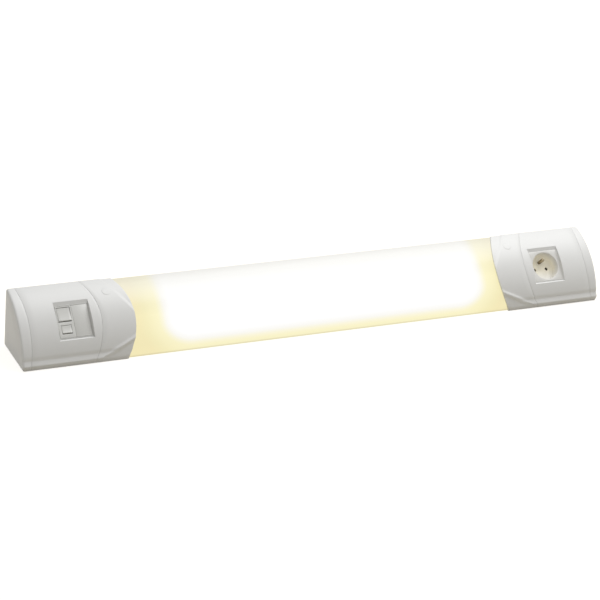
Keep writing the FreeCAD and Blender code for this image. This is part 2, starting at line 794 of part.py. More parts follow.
def lampholder(name, side):
    """Upright two-pin holder, a slot across its inner face for the lamp's pins."""
    made = body(name)
    outer = f"{side}{HOLDER_X}"
    drawing = sketch_on(made, "YZ_Plane", outer)
    half = "Sizes.holder_width / 2"
    outline(drawing, [
        (f"-{half}", "-Sizes.holder_foot"), (half, "-Sizes.holder_foot"), (f"~{half}", "0"), (f"~-{half}", "0"),
    ], {2: ("0", "0", half)})
    pad(made, drawing, "Sizes.holder_thick", backwards=side == "")
    inner = f"{side}({TUBE_HALF} + Sizes.holder_gap)"
    drawing = sketch_on(made, "YZ_Plane", inner)
    slot = "Sizes.holder_slot_height / 2"
    across = "(Sizes.tube_pin_pitch + Sizes.tube_pin) / 2 + 0.6"
    rectangle(drawing, f"-({across})", f"-{slot}", across, slot)
    pocket(made, drawing, "Sizes.holder_slot_depth", forwards=side == "")
    drawing = sketch_on(made, "YZ_Plane", inner)
    rectangle(drawing, "-1.6", "0", "1.6", "Sizes.holder_width")
    pocket(made, drawing, "Sizes.holder_slot_depth * 0.5", forwards=side == "")
    return put_on_face(made, z="Sizes.tube_radius_place")


def lamp_bracket():
    """Upright sheet bracket of the left end: web, foot on the chassis and tab for the collar screw."""
    web = body("left_bracket_web")
    t = "Sizes.sheet_thick"
    radius = "Sizes.bracket_radius"
    face = f"(-{HOLDER_X} - {t})"
    top = f"(Sizes.chassis_top - {t} - Sizes.bracket_gap)"
    front = f"(Sizes.chassis_depth - {t} - Sizes.bracket_gap)"
    drawing = sketch_on(web, "YZ_Plane", face)
    outline(drawing, [
        (f"-{t}", t), (f"-{t}", top), ("~-" + arc_depth(top, radius), top),
        (f"-{front}", f"~sqrt({radius}^2 - (Sizes.arc_behind_wall + {front})^2) - Sizes.arc_below_base"),
        (f"-{front}", t),
    ], {2: ("Sizes.arc_behind_wall", "-Sizes.arc_below_base", radius)})
    pad(web, drawing, t)
    drawing = sketch_on(web, "XY_Plane", t)
    rectangle(drawing, f"{face} - Sizes.bracket_foot", f"-{front} + 14", face, "-14")
    pad(web, drawing, t)
    put_floor_in_face(web)
    tab = doc.addObject("Part::Box", "left_bracket_tab")
    tilt = "(Sizes.collar_screw_angle - Sizes.module_angle)"
    turn_about_x(tab, f"-{tilt}")
    base = f"(Sizes.tab_radius - {t})"
    half = "Sizes.tab_width / 2"
    bind(
        tab, Length="Sizes.tab_length", Width="Sizes.tab_width", Height=t,
        Placement__Base__x=f"{face} - Sizes.tab_length + {t}",
        Placement__Base__y=f"{base} * sin({tilt}) - {half} * cos({tilt})",
        Placement__Base__z=f"{base} * cos({tilt}) + {half} * sin({tilt})",
    )
    hole = radial_cylinder("left_bracket_hole", "Sizes.screw_shank / 2", "Sizes.tab_radius - 4", "8")
    made = cut("left_lamp_bracket", join("left_bracket_blank", web, tab), hole)
    return put_on_face(made)


# Collars

def radial_cylinder(name, radius, start, length):
    """Cylinder square to the front at the left collar's screw, from a distance off the front's axis."""
    made = doc.addObject("Part::Cylinder", name)
    tilt = "(Sizes.collar_screw_angle - Sizes.module_angle)"
    turn_about_x(made, f"-{tilt}")
    return bind(
        made, Radius=radius, Height=length,
        Placement__Base__x=f"-{HALF} + Sizes.collar_screw_place",
        Placement__Base__y=f"({start}) * sin({tilt})",
        Placement__Base__z=f"({start}) * cos({tilt})",
    )


def corner_waste(name, low, high, up, out):
    """What a sloping corner takes off the left collar: a block less a tilted copy of the front.

    The tilted copy's axis is up[1] * (place - up[0]) above the front's own and out[1] * (place - out[0])
    in front of it, both at a place measured from the left end.
    """
    slab = block(name + "_block", low, high)
    rise = value(up[1])
    reach = value(out[1])
    direction = Vector(1, rise, reach).normalize()
    origin = Vector(-value(HALF), -rise * value(up[0]), -reach * value(out[0]))
    copy = doc.addObject("Part::Feature", name + "_copy")
    long = value("Sizes.arc_radius") * 6
    copy.Shape = Part.makeCylinder(value("Sizes.arc_radius"), long, origin - direction * long / 2, direction)
    return cut(name, slab, copy)


def left_collar():
    """Bowed band between end box and diffuser, its far corners sloping down to the diffuser."""
    start = f"-{HALF} + Sizes.collar_seam - Sizes.arc_radius / 4"
    stop = f"-{HALF} + Sizes.collar_end + 1"
    skirt_depth = "Sizes.diffuser_front_depth + Sizes.diffuser_gap"
    blank = cover_blank("left_collar_blank", start, stop, skirt_depth, hook=False)
    bow = "Sizes.collar_seam_radius"
    trimmed = overlap("left_collar_trimmed", blank, seam_knife("left_collar_far_end", "Sizes.collar_end", bow))
    near_end = seam_knife("left_collar_near_end", "Sizes.collar_seam", bow, "Sizes.seam_gap")
    band = cut("left_collar_band", trimmed, near_end)
    far = f"-{HALF} + Sizes.collar_end + 10"
    reach = "Sizes.arc_radius + 10"
    upper = corner_waste(
        "left_collar_upper_waste",
        (f"-{HALF} + Sizes.upper_corner_start", "0", "0"), (far, reach, reach),
        ("Sizes.upper_corner_start", "-Sizes.upper_corner_fall"),
        ("Sizes.upper_corner_out_start", "-Sizes.upper_corner_out_fall"),
    )
    lower = corner_waste(
        "left_collar_lower_waste",
        (f"-{HALF} + Sizes.lower_corner_start", f"-({reach})", "0"), (far, "0", reach),
        ("Sizes.lower_corner_rise_start", "Sizes.lower_corner_rise"),
        ("Sizes.lower_corner_out_start", "Sizes.lower_corner_out_rise"),
    )
    core = cylinder(
        "left_collar_core", "Sizes.arc_radius - Sizes.cover_wall + Sizes.collar_lip",
        "Sizes.collar_end + 4", x=f"-{HALF}", along="x",
    )
    sloped = cut("left_collar_sloped", band, upper, lower)
    lip = overlap("left_collar_inner_lip", band, core)
    boss = radial_cylinder("left_collar_boss", "Sizes.boss_diameter / 2", "Sizes.tab_radius + Sizes.plug_gap",
                           "Sizes.arc_radius - Sizes.tab_radius - Sizes.cover_wall * 0.8")
    whole = join("left_collar_whole", sloped, lip, boss)
    seat = "Sizes.arc_radius - Sizes.plug_thick"
    recess = radial_cylinder("left_collar_recess", "Sizes.plug_diameter / 2 + Sizes.plug_gap", seat, "6")
    floor = "Sizes.tab_radius + 2.2"
    well = radial_cylinder("left_collar_well", "Sizes.screw_head / 2 + Sizes.screw_clearance", floor, "10")
    hole = radial_cylinder("left_collar_hole", "Sizes.screw_shank / 2 + Sizes.screw_clearance",
                           "Sizes.tab_radius - 2", "8")
    return put_on_face(cut("left_collar", whole, recess, well, hole))


def left_screw_plug():
    """Round plug over the collar screw, its top following the front."""
    seat = "Sizes.arc_radius - Sizes.plug_thick"
    disc_blank = radial_cylinder("left_plug_blank", "Sizes.plug_diameter / 2", seat, "6")
    skin = cylinder("left_plug_skin", "Sizes.arc_radius + Sizes.plug_proud", "Sizes.collar_end + 4",
                    x=f"-{HALF}", along="x")
    return put_on_face(overlap("left_screw_plug", disc_blank, skin))


def left_collar_screw():
    """Collar screw into the bracket's tab."""
    seat = "Sizes.tab_radius + 2.2"
    shank = radial_cylinder("left_collar_screw_shank", "Sizes.screw_shank / 2 - Sizes.screw_clearance / 3",
                            f"{seat} - Sizes.screw_length * 0.7", "Sizes.screw_length * 0.7 + 1")
    head = radial_cylinder("left_collar_screw_head", "Sizes.screw_head / 2", seat, "Sizes.screw_head_height")
    drive = radial_cylinder("left_collar_screw_drive", "Sizes.screw_head * 0.22",
                            f"{seat} + Sizes.screw_head_height * 0.45", "Sizes.screw_head_height")
    return put_on_face(cut("left_collar_screw", join("left_collar_screw_blank", shank, head), drive))


# End boxes

def window_tool(name, x):
    """Opening for a module: its top and bottom slope from the front down to just under the module's face."""
    made = body(name)
    half = "Sizes.window_width / 2"
    drawing = sketch_on(made, "YZ_Plane", f"({x}) - {half}")
    narrow = "Sizes.window_half_height"
    face = FACE_RADIUS
    surface_top = "sqrt(Sizes.arc_radius^2 - Sizes.window_top^2)"
    surface_low = "sqrt(Sizes.arc_radius^2 - Sizes.window_bottom^2)"
    sill = f"{face} - Sizes.window_sill"
    outside = "Sizes.arc_radius + 5"
    outline(drawing, [
        (f"-{narrow}", f"{face} - Sizes.window_depth - 6"),
        (narrow, f"{face} - Sizes.window_depth - 6"),
        (narrow, sill),
        ("Sizes.window_top", surface_top),
        ("Sizes.window_top", outside),
        ("-Sizes.window_bottom", outside),
        ("-Sizes.window_bottom", surface_low),
        (f"-{narrow}", sill),
    ])
    pad(made, drawing, "Sizes.window_width")
    return made


def window_frame(name, x):
    """Thick block behind the opening that gives it its inner walls."""
    half = "(Sizes.window_width / 2 + Sizes.window_wall)"
    rear = f"{FACE_RADIUS} - Sizes.window_depth"
    slab = block(
        name + "_slab",
        (f"({x}) - {half}", "-Sizes.flange_bottom", rear),
        (f"({x}) + {half}", "Sizes.flange_top", "Sizes.arc_radius + 1"),
    )
    skin = cylinder(name + "_skin", "Sizes.arc_radius - Sizes.cover_wall / 2", "4 * Sizes.module_place",
                    x=f"({x}) - 2 * Sizes.module_place", along="x")
    return overlap(name, slab, skin)


def module_x(side):
    return f"{side}({HALF} - Sizes.module_place)"


def screw_spots():
    """Offsets of a module's two fixing screws from its middle."""
    half = "Sizes.module_screw_across / 2"
    return [(f"-{half}", "Sizes.module_screw_high"), (half, "-Sizes.module_screw_low")]


def end_box(label, side):
    """Housing of an end box: bowed at both seams, with the funnel-shaped module opening."""
    start = f"-{HALF} + Sizes.cap_seam - 6"
    stop = f"-{HALF} + Sizes.collar_seam + 1"
    blank = cover_blank(label + "_blank", start, stop, "Sizes.cover_inner_depth", hook=True)
    far = seam_knife(label + "_far_end", "Sizes.collar_seam", "Sizes.collar_seam_radius")
    near = seam_knife(label + "_near_end", "Sizes.cap_seam", "Sizes.cap_seam_radius", "Sizes.seam_gap")
    shell = cut(label + "_shell", overlap(label + "_trimmed", blank, far), near)
    x = module_x("-")
    whole = join(label + "_whole", shell, window_frame(label + "_window_frame", x))
    rear = f"{FACE_RADIUS} - Sizes.window_depth"
    pilots = [
        cylinder(f"{label}_pilot_{number}", "Sizes.module_screw_hole / 2", "5",
                 x=f"{x} + {across}", y=up, z=f"{rear} - 1")
        for number, (across, up) in enumerate(screw_spots())
    ]
    made = cut(label + "_left_form", whole, window_tool(label + "_window", x), *pilots)
    if side == "-":
        made.Label = label
        return put_on_face(made)
    return put_on_face(mirrored(label, made))


def left_end_cap():
    """Closed cap: rounded outer edges, hollow inside, and a screw tongue over the chassis."""
    made = body("left_end_cap_blank")
    drawing = sketch_on(made, "YZ_Plane", f"-{HALF}")
    corners = FRONT_CORNERS + [
        ("0", "0"),
        ("0", arc_height("Sizes.top_edge_ease") + " - Sizes.top_edge_ease"),
    ]
    outline(drawing, corners, {0: OUTER_ARC})
    pad(made, drawing, "Sizes.cap_seam + 2")
    end_x = -value(HALF)

    def is_outer_end_edge(edge):
        at_end = all(abs(v.X - end_x) < 1e-6 for v in edge.Vertexes)
        on_wall = all(abs(v.Y) < 1e-6 for v in edge.Vertexes)
        return at_end and not on_wall

    round_edges(made, "Sizes.cap_round", is_outer_end_edge)
    wall = "Sizes.cover_wall"
    drawing = sketch_on(made, "YZ_Plane", f"-{HALF} + {wall}")
    outline(drawing, [
        (f"-{wall}", wall),
        ("-Sizes.cover_inner_depth", wall),
        ("-Sizes.cover_inner_depth", "~" + inner_height("Sizes.cover_inner_depth")),
        (f"-{wall}", "~" + inner_height(wall)),
    ], {2: INNER_ARC})
    pocket(made, drawing, "Sizes.cap_seam + 4", forwards=True)
    put_floor_in_face(made)
    knife = seam_knife("left_end_cap_seam", "Sizes.cap_seam", "Sizes.cap_seam_radius")
    tongue = body("left_end_cap_tongue")
    drawing = sketch_on(tongue, "XY_Plane", "Sizes.sheet_thick")
    half = "Sizes.tongue_width / 2"
    rectangle(drawing, f"-{HALF} + {wall} / 2", f"-Sizes.tongue_place - {half}",
              f"-{HALF} + Sizes.cap_seam + Sizes.tongue_length", f"-Sizes.tongue_place + {half}")
    pad(tongue, drawing, "Sizes.tongue_thick")
    drawing = sketch_on(tongue, "XY_Plane", "Sizes.sheet_thick")
    disc(drawing, f"-{CAP_SCREW_X}", "-Sizes.tongue_place", "Sizes.screw_shank + Sizes.screw_clearance")
    pocket(tongue, drawing, "Sizes.tongue_thick + 1", forwards=True)
    put_floor_in_face(tongue)
    shell = overlap("left_end_cap_shell", made, knife)
    return put_on_face(join("left_end_cap", shell, tongue))


# Diffuser

def diffuser():
    """Opal extrusion: convex wall with a foot along its lower edge."""
    made = body("diffuser")
    reach = f"({HALF} - Sizes.diffuser_start)"
    drawing = sketch_on(made, "YZ_Plane", f"-{reach}")
    outer = "Sizes.diffuser_radius"
    inner = "(Sizes.diffuser_radius - Sizes.diffuser_wall)"
    front = "Sizes.diffuser_front_depth"
    front_inside = "(Sizes.diffuser_front_depth - Sizes.diffuser_wall)"
    low = "Sizes.diffuser_foot_height"
    foot_top = f"{low} + Sizes.diffuser_wall"
    back = "Sizes.diffuser_gap"
    centre = ("Sizes.arc_behind_wall", "-Sizes.arc_below_base")
    outline(drawing, [
        (f"-{back}", "~" + arc_height(back, outer)),
        (f"-{front}", "~" + arc_height(front, outer)),
        (f"-{front}", low),
        ("-Sizes.diffuser_foot_depth", low),
        ("-Sizes.diffuser_foot_depth", foot_top),
        (f"-{front_inside}", foot_top),
        (f"-{front_inside}", "~" + arc_height(front_inside, inner)),
        (f"-{back}", "~" + arc_height(back, inner)),
    ], {0: (*centre, outer), 6: (*centre, inner)})
    pad(made, drawing, f"2 * {reach}")
    return put_on_floor(made)


# Switch

def module_body(label, x_side, y="0", z="0", tilt="0", x_offset="0"):
    made = body(label)
    return put_on_face(made, x=f"{module_x(x_side)} + ({x_offset})", y=y, z=f"{FACE_RADIUS} + ({z})", tilt=tilt)


def module_shell(made, side, inside_width, inside_height, plate=None):
    """Square surround of a module with its fixing flange, hollow from behind."""
    width = "Sizes.module_width / 2"
    height = "Sizes.module_size / 2"
    depth = "Sizes.window_depth + Sizes.flange_gap + Sizes.flange_thick"
    drawing = sketch_on(made, "XY_Plane")
    rectangle(drawing, f"-{width}", f"-{height}", width, height)
    pad(made, drawing, depth, backwards=True)
    round_edges(made, "0.4", lambda edge: all(abs(v.Z) < 1e-6 for v in edge.Vertexes))
    drawing = sketch_on(made, "XY_Plane", f"-({depth})")
    half = "Sizes.flange_width / 2"
    rectangle(drawing, f"-{half}", "-Sizes.flange_bottom", half, "Sizes.flange_top")
    pad(made, drawing, "Sizes.flange_thick")
    drawing = sketch_on(made, "XY_Plane", f"-({depth})")
    for across, up in screw_spots():
        mirror = "-1" if side == "" else "1"
        disc(drawing, f"{mirror} * ({across})", up, "Sizes.module_screw_hole + Sizes.screw_clearance")
    pocket(made, drawing, "Sizes.flange_thick + 1", forwards=True)
    drawing = sketch_on(made, "XY_Plane", f"-({depth})")
    rectangle(drawing, f"-({inside_width})", f"-({inside_height})", inside_width, inside_height)
    if plate is None:
        pocket(made, drawing, forwards=True)
    else:
        pocket(made, drawing, f"{depth} - ({plate})", forwards=True)


INSERT_HALF_WIDTH = "(Sizes.module_width / 2 - Sizes.frame_rim)"
INSERT_HALF_HEIGHT = "(Sizes.module_size / 2 - Sizes.frame_rim)"


def switch_frame():
    """Surround of the switch module with a ledge that its two inserts rest on."""
    made = module_body("switch_frame", "-")
    ledge = "Sizes.frame_ledge"
    module_shell(made, "-", f"{INSERT_HALF_WIDTH} - {ledge}", f"{INSERT_HALF_HEIGHT} - {ledge}")
    drawing = sketch_on(made, "XY_Plane")
    rectangle(drawing, f"-{INSERT_HALF_WIDTH}", f"-{INSERT_HALF_HEIGHT}", INSERT_HALF_WIDTH, INSERT_HALF_HEIGHT)
    pocket(made, drawing, "Sizes.insert_depth")
    return made


def insert_shell(made, left, right):
    """Half-width insert, open behind, its skirt standing on the frame's ledge."""
    half = f"({INSERT_HALF_HEIGHT} - Sizes.insert_gap)"
    wall = "Sizes.insert_wall"
    drawing = sketch_on(made, "XY_Plane")
    rectangle(drawing, left, f"-{half}", right, half)
    pad(made, drawing, "Sizes.insert_depth", backwards=True)
    round_edges(made, "0.35", lambda edge: all(abs(v.Z) < 1e-6 for v in edge.Vertexes))
    drawing = sketch_on(made, "XY_Plane", "-Sizes.insert_depth")
    rectangle(drawing, f"{left} + {wall}", f"-{half} + {wall}", f"{right} - {wall}", f"{half} - {wall}")
    pocket(made, drawing, "Sizes.insert_depth - Sizes.insert_plate", forwards=True)


def blank_plate():
    """Plain half-width insert beside the switches."""
    made = module_body("blank_plate", "-")
    insert_shell(made, "Sizes.insert_split / 2", f"{INSERT_HALF_WIDTH} - Sizes.insert_gap")
    return made


ROCKERS = {
    "upper": ("Sizes.upper_rocker_width", "Sizes.upper_rocker_height", "Sizes.upper_rocker_place"),
    "lower": ("Sizes.lower_rocker_width", "Sizes.lower_rocker_height", "Sizes.lower_rocker_place"),
}


def switch_cover():
    """Half-width insert with the two rocker openings."""
    made = module_body("switch_cover", "-")
    insert_shell(made, f"-{INSERT_HALF_WIDTH} + Sizes.insert_gap", "-Sizes.insert_split / 2")
    for width, height, place in ROCKERS.values():
        drawing = sketch_on(made, "XY_Plane")
        across = f"({width} / 2 + Sizes.rocker_gap)"
        reach = f"({rocker_sweep(height)} + Sizes.rocker_gap)"
        rectangle(drawing, f"-Sizes.rocker_split - {across}", f"{place} - {reach}",
                  f"-Sizes.rocker_split + {across}", f"{place} + {reach}")
        pocket(made, drawing, "Sizes.insert_plate + 1")
    return made


def rocker_sweep(height):
    """Furthest that a rocker's corner reaches from its pivot as it tips."""
    arm = "(Sizes.rocker_pivot_depth + Sizes.rocker_proud)"
    return f"({height} / 2 * cos(Sizes.rocker_tilt) + {arm} * sin(Sizes.rocker_tilt))"


def switch_body():
    """Switch mechanism behind the left insert, with a pair of pivot ears for each rocker."""
    made = module_body("switch_body", "-")
    half = "Sizes.switch_body_width / 2"
    tall = "Sizes.switch_body_height / 2"
    drawing = sketch_on(made, "XY_Plane", "-Sizes.switch_body_depth")
    rectangle(drawing, f"-Sizes.rocker_split - {half} + 0.5", f"-{tall}", f"-Sizes.rocker_split + {half} + 0.5", tall)
    pad(made, drawing, "Sizes.switch_body_depth - Sizes.switch_body_top")
    ear = "Sizes.pivot_ear"
    ear_top = f"({PIVOT_HEIGHT} + Sizes.rocker_pin / 2 + 0.9)"
    for width, _, place in ROCKERS.values():
        stem = f"({width} / 2 - Sizes.rocker_stem_inset + Sizes.pivot_ear_gap)"
        for side in ("-", "+"):
            near = f"-Sizes.rocker_split {side} {stem}"
            far = f"-Sizes.rocker_split {side} ({stem} + {ear})"
            left, right = (far, near) if side == "-" else (near, far)
            drawing = sketch_on(made, "XY_Plane", "-Sizes.switch_body_top")
            rectangle(drawing, left, f"{place} - 2", right, f"{place} + 2")
            pad(made, drawing, f"Sizes.switch_body_top + ({ear_top})")
    for width, _, place in ROCKERS.values():
        drawing = sketch_on(made, "YZ_Plane", f"-Sizes.rocker_split - {width} / 2")
        disc(drawing, place, PIVOT_HEIGHT, "Sizes.rocker_pin + 2 * Sizes.pivot_clearance")
        pocket(made, drawing, width, forwards=True)
    return made


def rocker(name):
    """Rocker at rest with its upper edge pressed in: crowned cap, stem and pivot pins."""
    width, height, place = ROCKERS[name]
    made = module_body(f"{name}_rocker", "-", y=place, z=PIVOT_HEIGHT, tilt="-Sizes.rocker_tilt",
                       x_offset="-Sizes.rocker_split")
    top = "(Sizes.rocker_pivot_depth + Sizes.rocker_proud)"
    half = f"{height} / 2"
    drawing = sketch_on(made, "YZ_Plane", f"-{width} / 2")
    outline(drawing, [
        (f"-{half}", f"{top} - Sizes.rocker_plate"), (half, f"{top} - Sizes.rocker_plate"),
        (half, top), (f"-{half}", top),
    ])
    pad(made, drawing, width)
    round_edges(made, "0.5", lambda edge: all(abs(v.Z - value(top)) < 1e-6 for v in edge.Vertexes))
    stem = f"{width} / 2 - Sizes.rocker_stem_inset"
    drawing = sketch_on(made, "XY_Plane", "-Sizes.rocker_pin / 2 - 0.6")
    rectangle(drawing, f"-({stem})", "-2", stem, "2")
    pad(made, drawing, f"{top} - Sizes.rocker_plate + Sizes.rocker_pin / 2 + 0.6 + 0.5")
    drawing = sketch_on(made, "YZ_Plane", f"-({stem}) - Sizes.pivot_ear_gap - Sizes.pivot_ear")
    disc(drawing, "0", "0", "Sizes.rocker_pin")
    pad(made, drawing, f"2 * (({stem}) + Sizes.pivot_ear_gap + Sizes.pivot_ear)")
    return made


# Socket

def socket_insert():
    """Socket face moulded in one: square plate, round well, pin holes and fixing flange."""
    made = module_body("socket_insert", "")
    wall = "Sizes.insert_wall"
    module_shell(made, "", f"Sizes.module_width / 2 - {wall}", f"Sizes.module_size / 2 - {wall}",
                 "Sizes.socket_plate_thick")
    depth = "Sizes.well_depth + Sizes.well_floor"
    drawing = sketch_on(made, "XY_Plane", f"-({depth})")
    disc(drawing, "0", "0", "Sizes.well_diameter + 2 * Sizes.well_wall")
    pad(made, drawing, f"{depth} - Sizes.socket_plate_thick / 2")
    drawing = sketch_on(made, "XY_Plane")
    disc(drawing, "0", "0", "Sizes.well_diameter")
    pocket(made, drawing, "Sizes.well_depth")
    rim = value("Sizes.well_diameter") / 2
    round_edges(made, "Sizes.well_rim", lambda edge: isinstance(edge.Curve, Part.Circle)
                and abs(edge.Curve.Radius - rim) < 1e-6 and abs(edge.Vertexes[0].Z) < 1e-6)
    drawing = sketch_on(made, "XY_Plane", "-Sizes.well_depth")
    for side in ("-", ""):
        disc(drawing, f"{side}Sizes.pin_pitch / 2", "0", "Sizes.pin_hole")
    disc(drawing, "0", "Sizes.earth_pin_rise", "Sizes.earth_root + 2 * Sizes.contact_gap")
    pocket(made, drawing, "Sizes.well_floor + 1")
    return made


def socket_floor():
    return "-(Sizes.well_depth + Sizes.well_floor)"


def socket_body():
    """Block behind the well that holds the contacts and the earth pin."""
    made = module_body("socket_body", "")
    half = "Sizes.socket_body_size / 2"
    drawing = sketch_on(made, "XY_Plane", socket_floor())
    rectangle(drawing, f"-{half}", f"-{half}", half, half)
    pad(made, drawing, "Sizes.socket_body_depth", backwards=True)
    round_edges(made, "2", lambda edge: runs_along(edge, Vector(0, 0, 1)))
    drawing = sketch_on(made, "XY_Plane", socket_floor())
    for side in ("-", ""):
        disc(drawing, f"{side}Sizes.pin_pitch / 2", "0", "Sizes.contact_diameter + 2 * Sizes.contact_gap")
    disc(drawing, "0", "Sizes.earth_pin_rise", "Sizes.earth_root + 2 * Sizes.contact_gap")
    pocket(made, drawing, "Sizes.contact_length")
    return made


def contact(name, side):
    """Brass sleeve behind a pin hole, split along one side."""
    made = module_body(name, "", x_offset=f"{side}Sizes.pin_pitch / 2")
    drawing = sketch_on(made, "XY_Plane", socket_floor())
    disc(drawing, "0", "0", "Sizes.contact_diameter")
    disc(drawing, "0", "0", "Sizes.pin_hole")
    pad(made, drawing, "Sizes.contact_length", backwards=True)
    return made


def earth_pin():
    """Brass earth pin with a rounded tip, its narrower root passing through the well's floor."""
    made = module_body("earth_pin", "", y="Sizes.earth_pin_rise")
    drawing = sketch_on(made, "XZ_Plane")
    radius = "Sizes.earth_pin / 2"
    tip = "(-Sizes.well_depth + Sizes.earth_pin_length)"
    root = f"({socket_floor()} - Sizes.contact_length)"
    neck = "Sizes.earth_root / 2"
    shoulder = "(-Sizes.well_depth + Sizes.earth_shoulder)"
    outline(drawing, [
        ("0", root), (neck, root), (neck, shoulder), (radius, shoulder),
        ("~" + radius, f"{tip} - {radius}"), ("0", "~" + tip),
    ], {4: ("0", f"{tip} - {radius}", radius)})
    revolve(made, drawing, "V_Axis")
    return made


def module_screws():
    """Two screws behind each module, through its flange into the end box."""
    depth = "(Sizes.window_depth + Sizes.flange_gap + Sizes.flange_thick)"
    screws = []
    for box_name, side in (("switch", "-"), ("socket", "")):
        for number, (across, up) in enumerate(screw_spots()):
            x = f"{module_x(side)} + {across}" if side == "-" else f"{module_x(side)} - ({across})"
            made = body(f"{box_name}_module_screw_{number}")
            put_on_face(made, x=x, y=up, z=f"{FACE_RADIUS} - {depth}")
            drawing = sketch_on(made, "XZ_Plane")
            shank = "Sizes.module_screw_hole / 2 - 0.1"
            head = "Sizes.module_screw_hole"
            outline(drawing, [
                ("0", "-1.6"), (f"{head} * 0.6", "-1.6"), (head, "-0.9"), (head, "0"),
                (shank, "0"), (shank, "4.6"), ("0", "5.2"),
            ])
            revolve(made, drawing, "V_Axis")
            screws.append(made)
    return group("module_screws", *screws)


def build():
    """Make every sub-part; the list is in the order they'd go together on a bench."""
    left_cap = left_end_cap()
    collar = left_collar()
    bracket = lamp_bracket()
    plug = left_screw_plug()
    screw = left_collar_screw()
    return [
        back_chassis(), cable_grommet(), terminal_block(), ballast(), gear_screws(), reflector(),
        bracket, mirrored("right_lamp_bracket", bracket),
        lampholder("left_lampholder", "-"), lampholder("right_lampholder", ""),
        fluorescent_tube(), diffuser(),
        collar, mirrored("right_collar", collar),
        group("collar_screws", screw, mirrored("right_collar_screw", screw)),
        plug, mirrored("right_screw_plug", plug),
        end_box("switch_housing", "-"), end_box("socket_housing", ""),
        left_cap, mirrored("right_end_cap", left_cap), end_cap_screws(),
        switch_frame(), switch_body(), switch_cover(), blank_plate(), rocker("upper"), rocker("lower"),
        socket_insert(), socket_body(), contact("live_contact", "-"), contact("neutral_contact", ""),
        earth_pin(), module_screws(),
    ]


def check(parts):
    """Stop if any object of the document failed or any sub-part is not a sound solid."""
    doc.recompute()
    for thing in doc.Objects:
        if {"Invalid", "Error"} & set(thing.State):
            raise RuntimeError(f"{thing.Label} failed: {thing.State}")
    for part in parts:
        shape = part.Shape
        if shape.isNull() or not shape.isValid() or not shape.Solids:
            raise RuntimeError(f"{part.Label} has no sound solid")


def export(parts):
    os.makedirs("parts", exist_ok=True)
    for part in parts:
        part.Shape.exportStep(f"parts/{part.Label}.step")


sub_parts = build()
check(sub_parts)
export(sub_parts)
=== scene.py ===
"""Looks of a slim wall light with a switch box at its left end and a socket box at its right end.

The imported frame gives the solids, in metres: X along the fitting, the wall at Y = 0, Z up.  The covers,
the diffuser and the modules are drawn again here with rolled edges and finishes.  "Front" coordinates are
(x, up, out): along the fitting, up the sloping front and square out of it, from the axis of the front.
"""

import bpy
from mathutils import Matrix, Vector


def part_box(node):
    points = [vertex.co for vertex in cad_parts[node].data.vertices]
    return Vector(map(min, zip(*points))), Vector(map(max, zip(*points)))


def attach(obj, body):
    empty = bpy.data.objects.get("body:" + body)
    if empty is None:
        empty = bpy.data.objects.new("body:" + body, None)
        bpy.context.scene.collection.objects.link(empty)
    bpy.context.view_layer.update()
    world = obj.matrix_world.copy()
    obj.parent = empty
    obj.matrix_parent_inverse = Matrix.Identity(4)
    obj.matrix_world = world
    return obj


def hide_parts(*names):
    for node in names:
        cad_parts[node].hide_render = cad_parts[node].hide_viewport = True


bl_info = {
    "name": "Wall light with socket",
    "version": (1, 0, 0),
    "blender": (4, 5, 0),
    "location": "3D View > Sidebar > Wall light",
    "description": "Finishes a wall light: bowed covers, lit diffuser, rocker switches and socket",
    "category": "Object",
}

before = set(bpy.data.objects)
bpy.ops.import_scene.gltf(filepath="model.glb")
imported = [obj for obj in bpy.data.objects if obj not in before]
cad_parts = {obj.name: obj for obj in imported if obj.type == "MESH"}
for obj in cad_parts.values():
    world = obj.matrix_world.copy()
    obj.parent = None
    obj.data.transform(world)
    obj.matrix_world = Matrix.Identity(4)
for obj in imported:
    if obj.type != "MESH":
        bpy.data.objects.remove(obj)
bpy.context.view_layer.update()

import math
from collections import namedtuple

import bmesh
import bpy
from bpy.props import FloatProperty, PointerProperty, StringProperty
from mathutils import Matrix, Vector

HALF = (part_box("right_end_cap")[1].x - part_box("left_end_cap")[0].x) / 2
SMOOTH_ANGLE = math.radians(34)
# Points of an outline before its arc, and of its soft crease, nose and root after it
HEAD_POINTS = 2
SKIRT_POINTS = 13
# Points round the socket's well, its holes, the earth pin and a screw plug
WELL_COUNT, HOLE_COUNT, PIN_COUNT, PLUG_COUNT = 96, 32, 40, 48
# Steps along the front of the caps, collars, end boxes and diffuser, and across a rocker and up it
CAP_STEPS, COLLAR_STEPS, BOX_STEPS, DIFFUSER_STEPS = 40, 64, 56, 36
ROCKER_STEPS = (6, 16)
# Reach of the soft bends at the outline's crease, its root and the diffuser's lower edge
CREASE_REACH, ROOT_REACH, DIFFUSER_REACH = 0.0016, 0.0006, 0.0009
# Least room between the columns of a collar's slopes, and between an opening and the collar's seam
COLUMN_ROOM, SEAM_ROOM = 0.0015, 0.003
# Room between a cover and what it lies against
CLEARANCE = 0.0003
# Distance within which two corners of a mesh become one
WELD = 1e-6


# Values that a user may change

def length(name, description, default):
    return FloatProperty(name=name, description=description, default=default, min=0.0, unit="LENGTH", precision=4)


def angle(name, description, degrees):
    return FloatProperty(name=name, description=description, default=math.radians(degrees), subtype="ANGLE")


def strength(name, description, default, unit="NONE"):
    return FloatProperty(name=name, description=description, default=default, min=0.0, unit=unit)


def shade(name, description, default):
    return StringProperty(name=name, description=description, default=default)


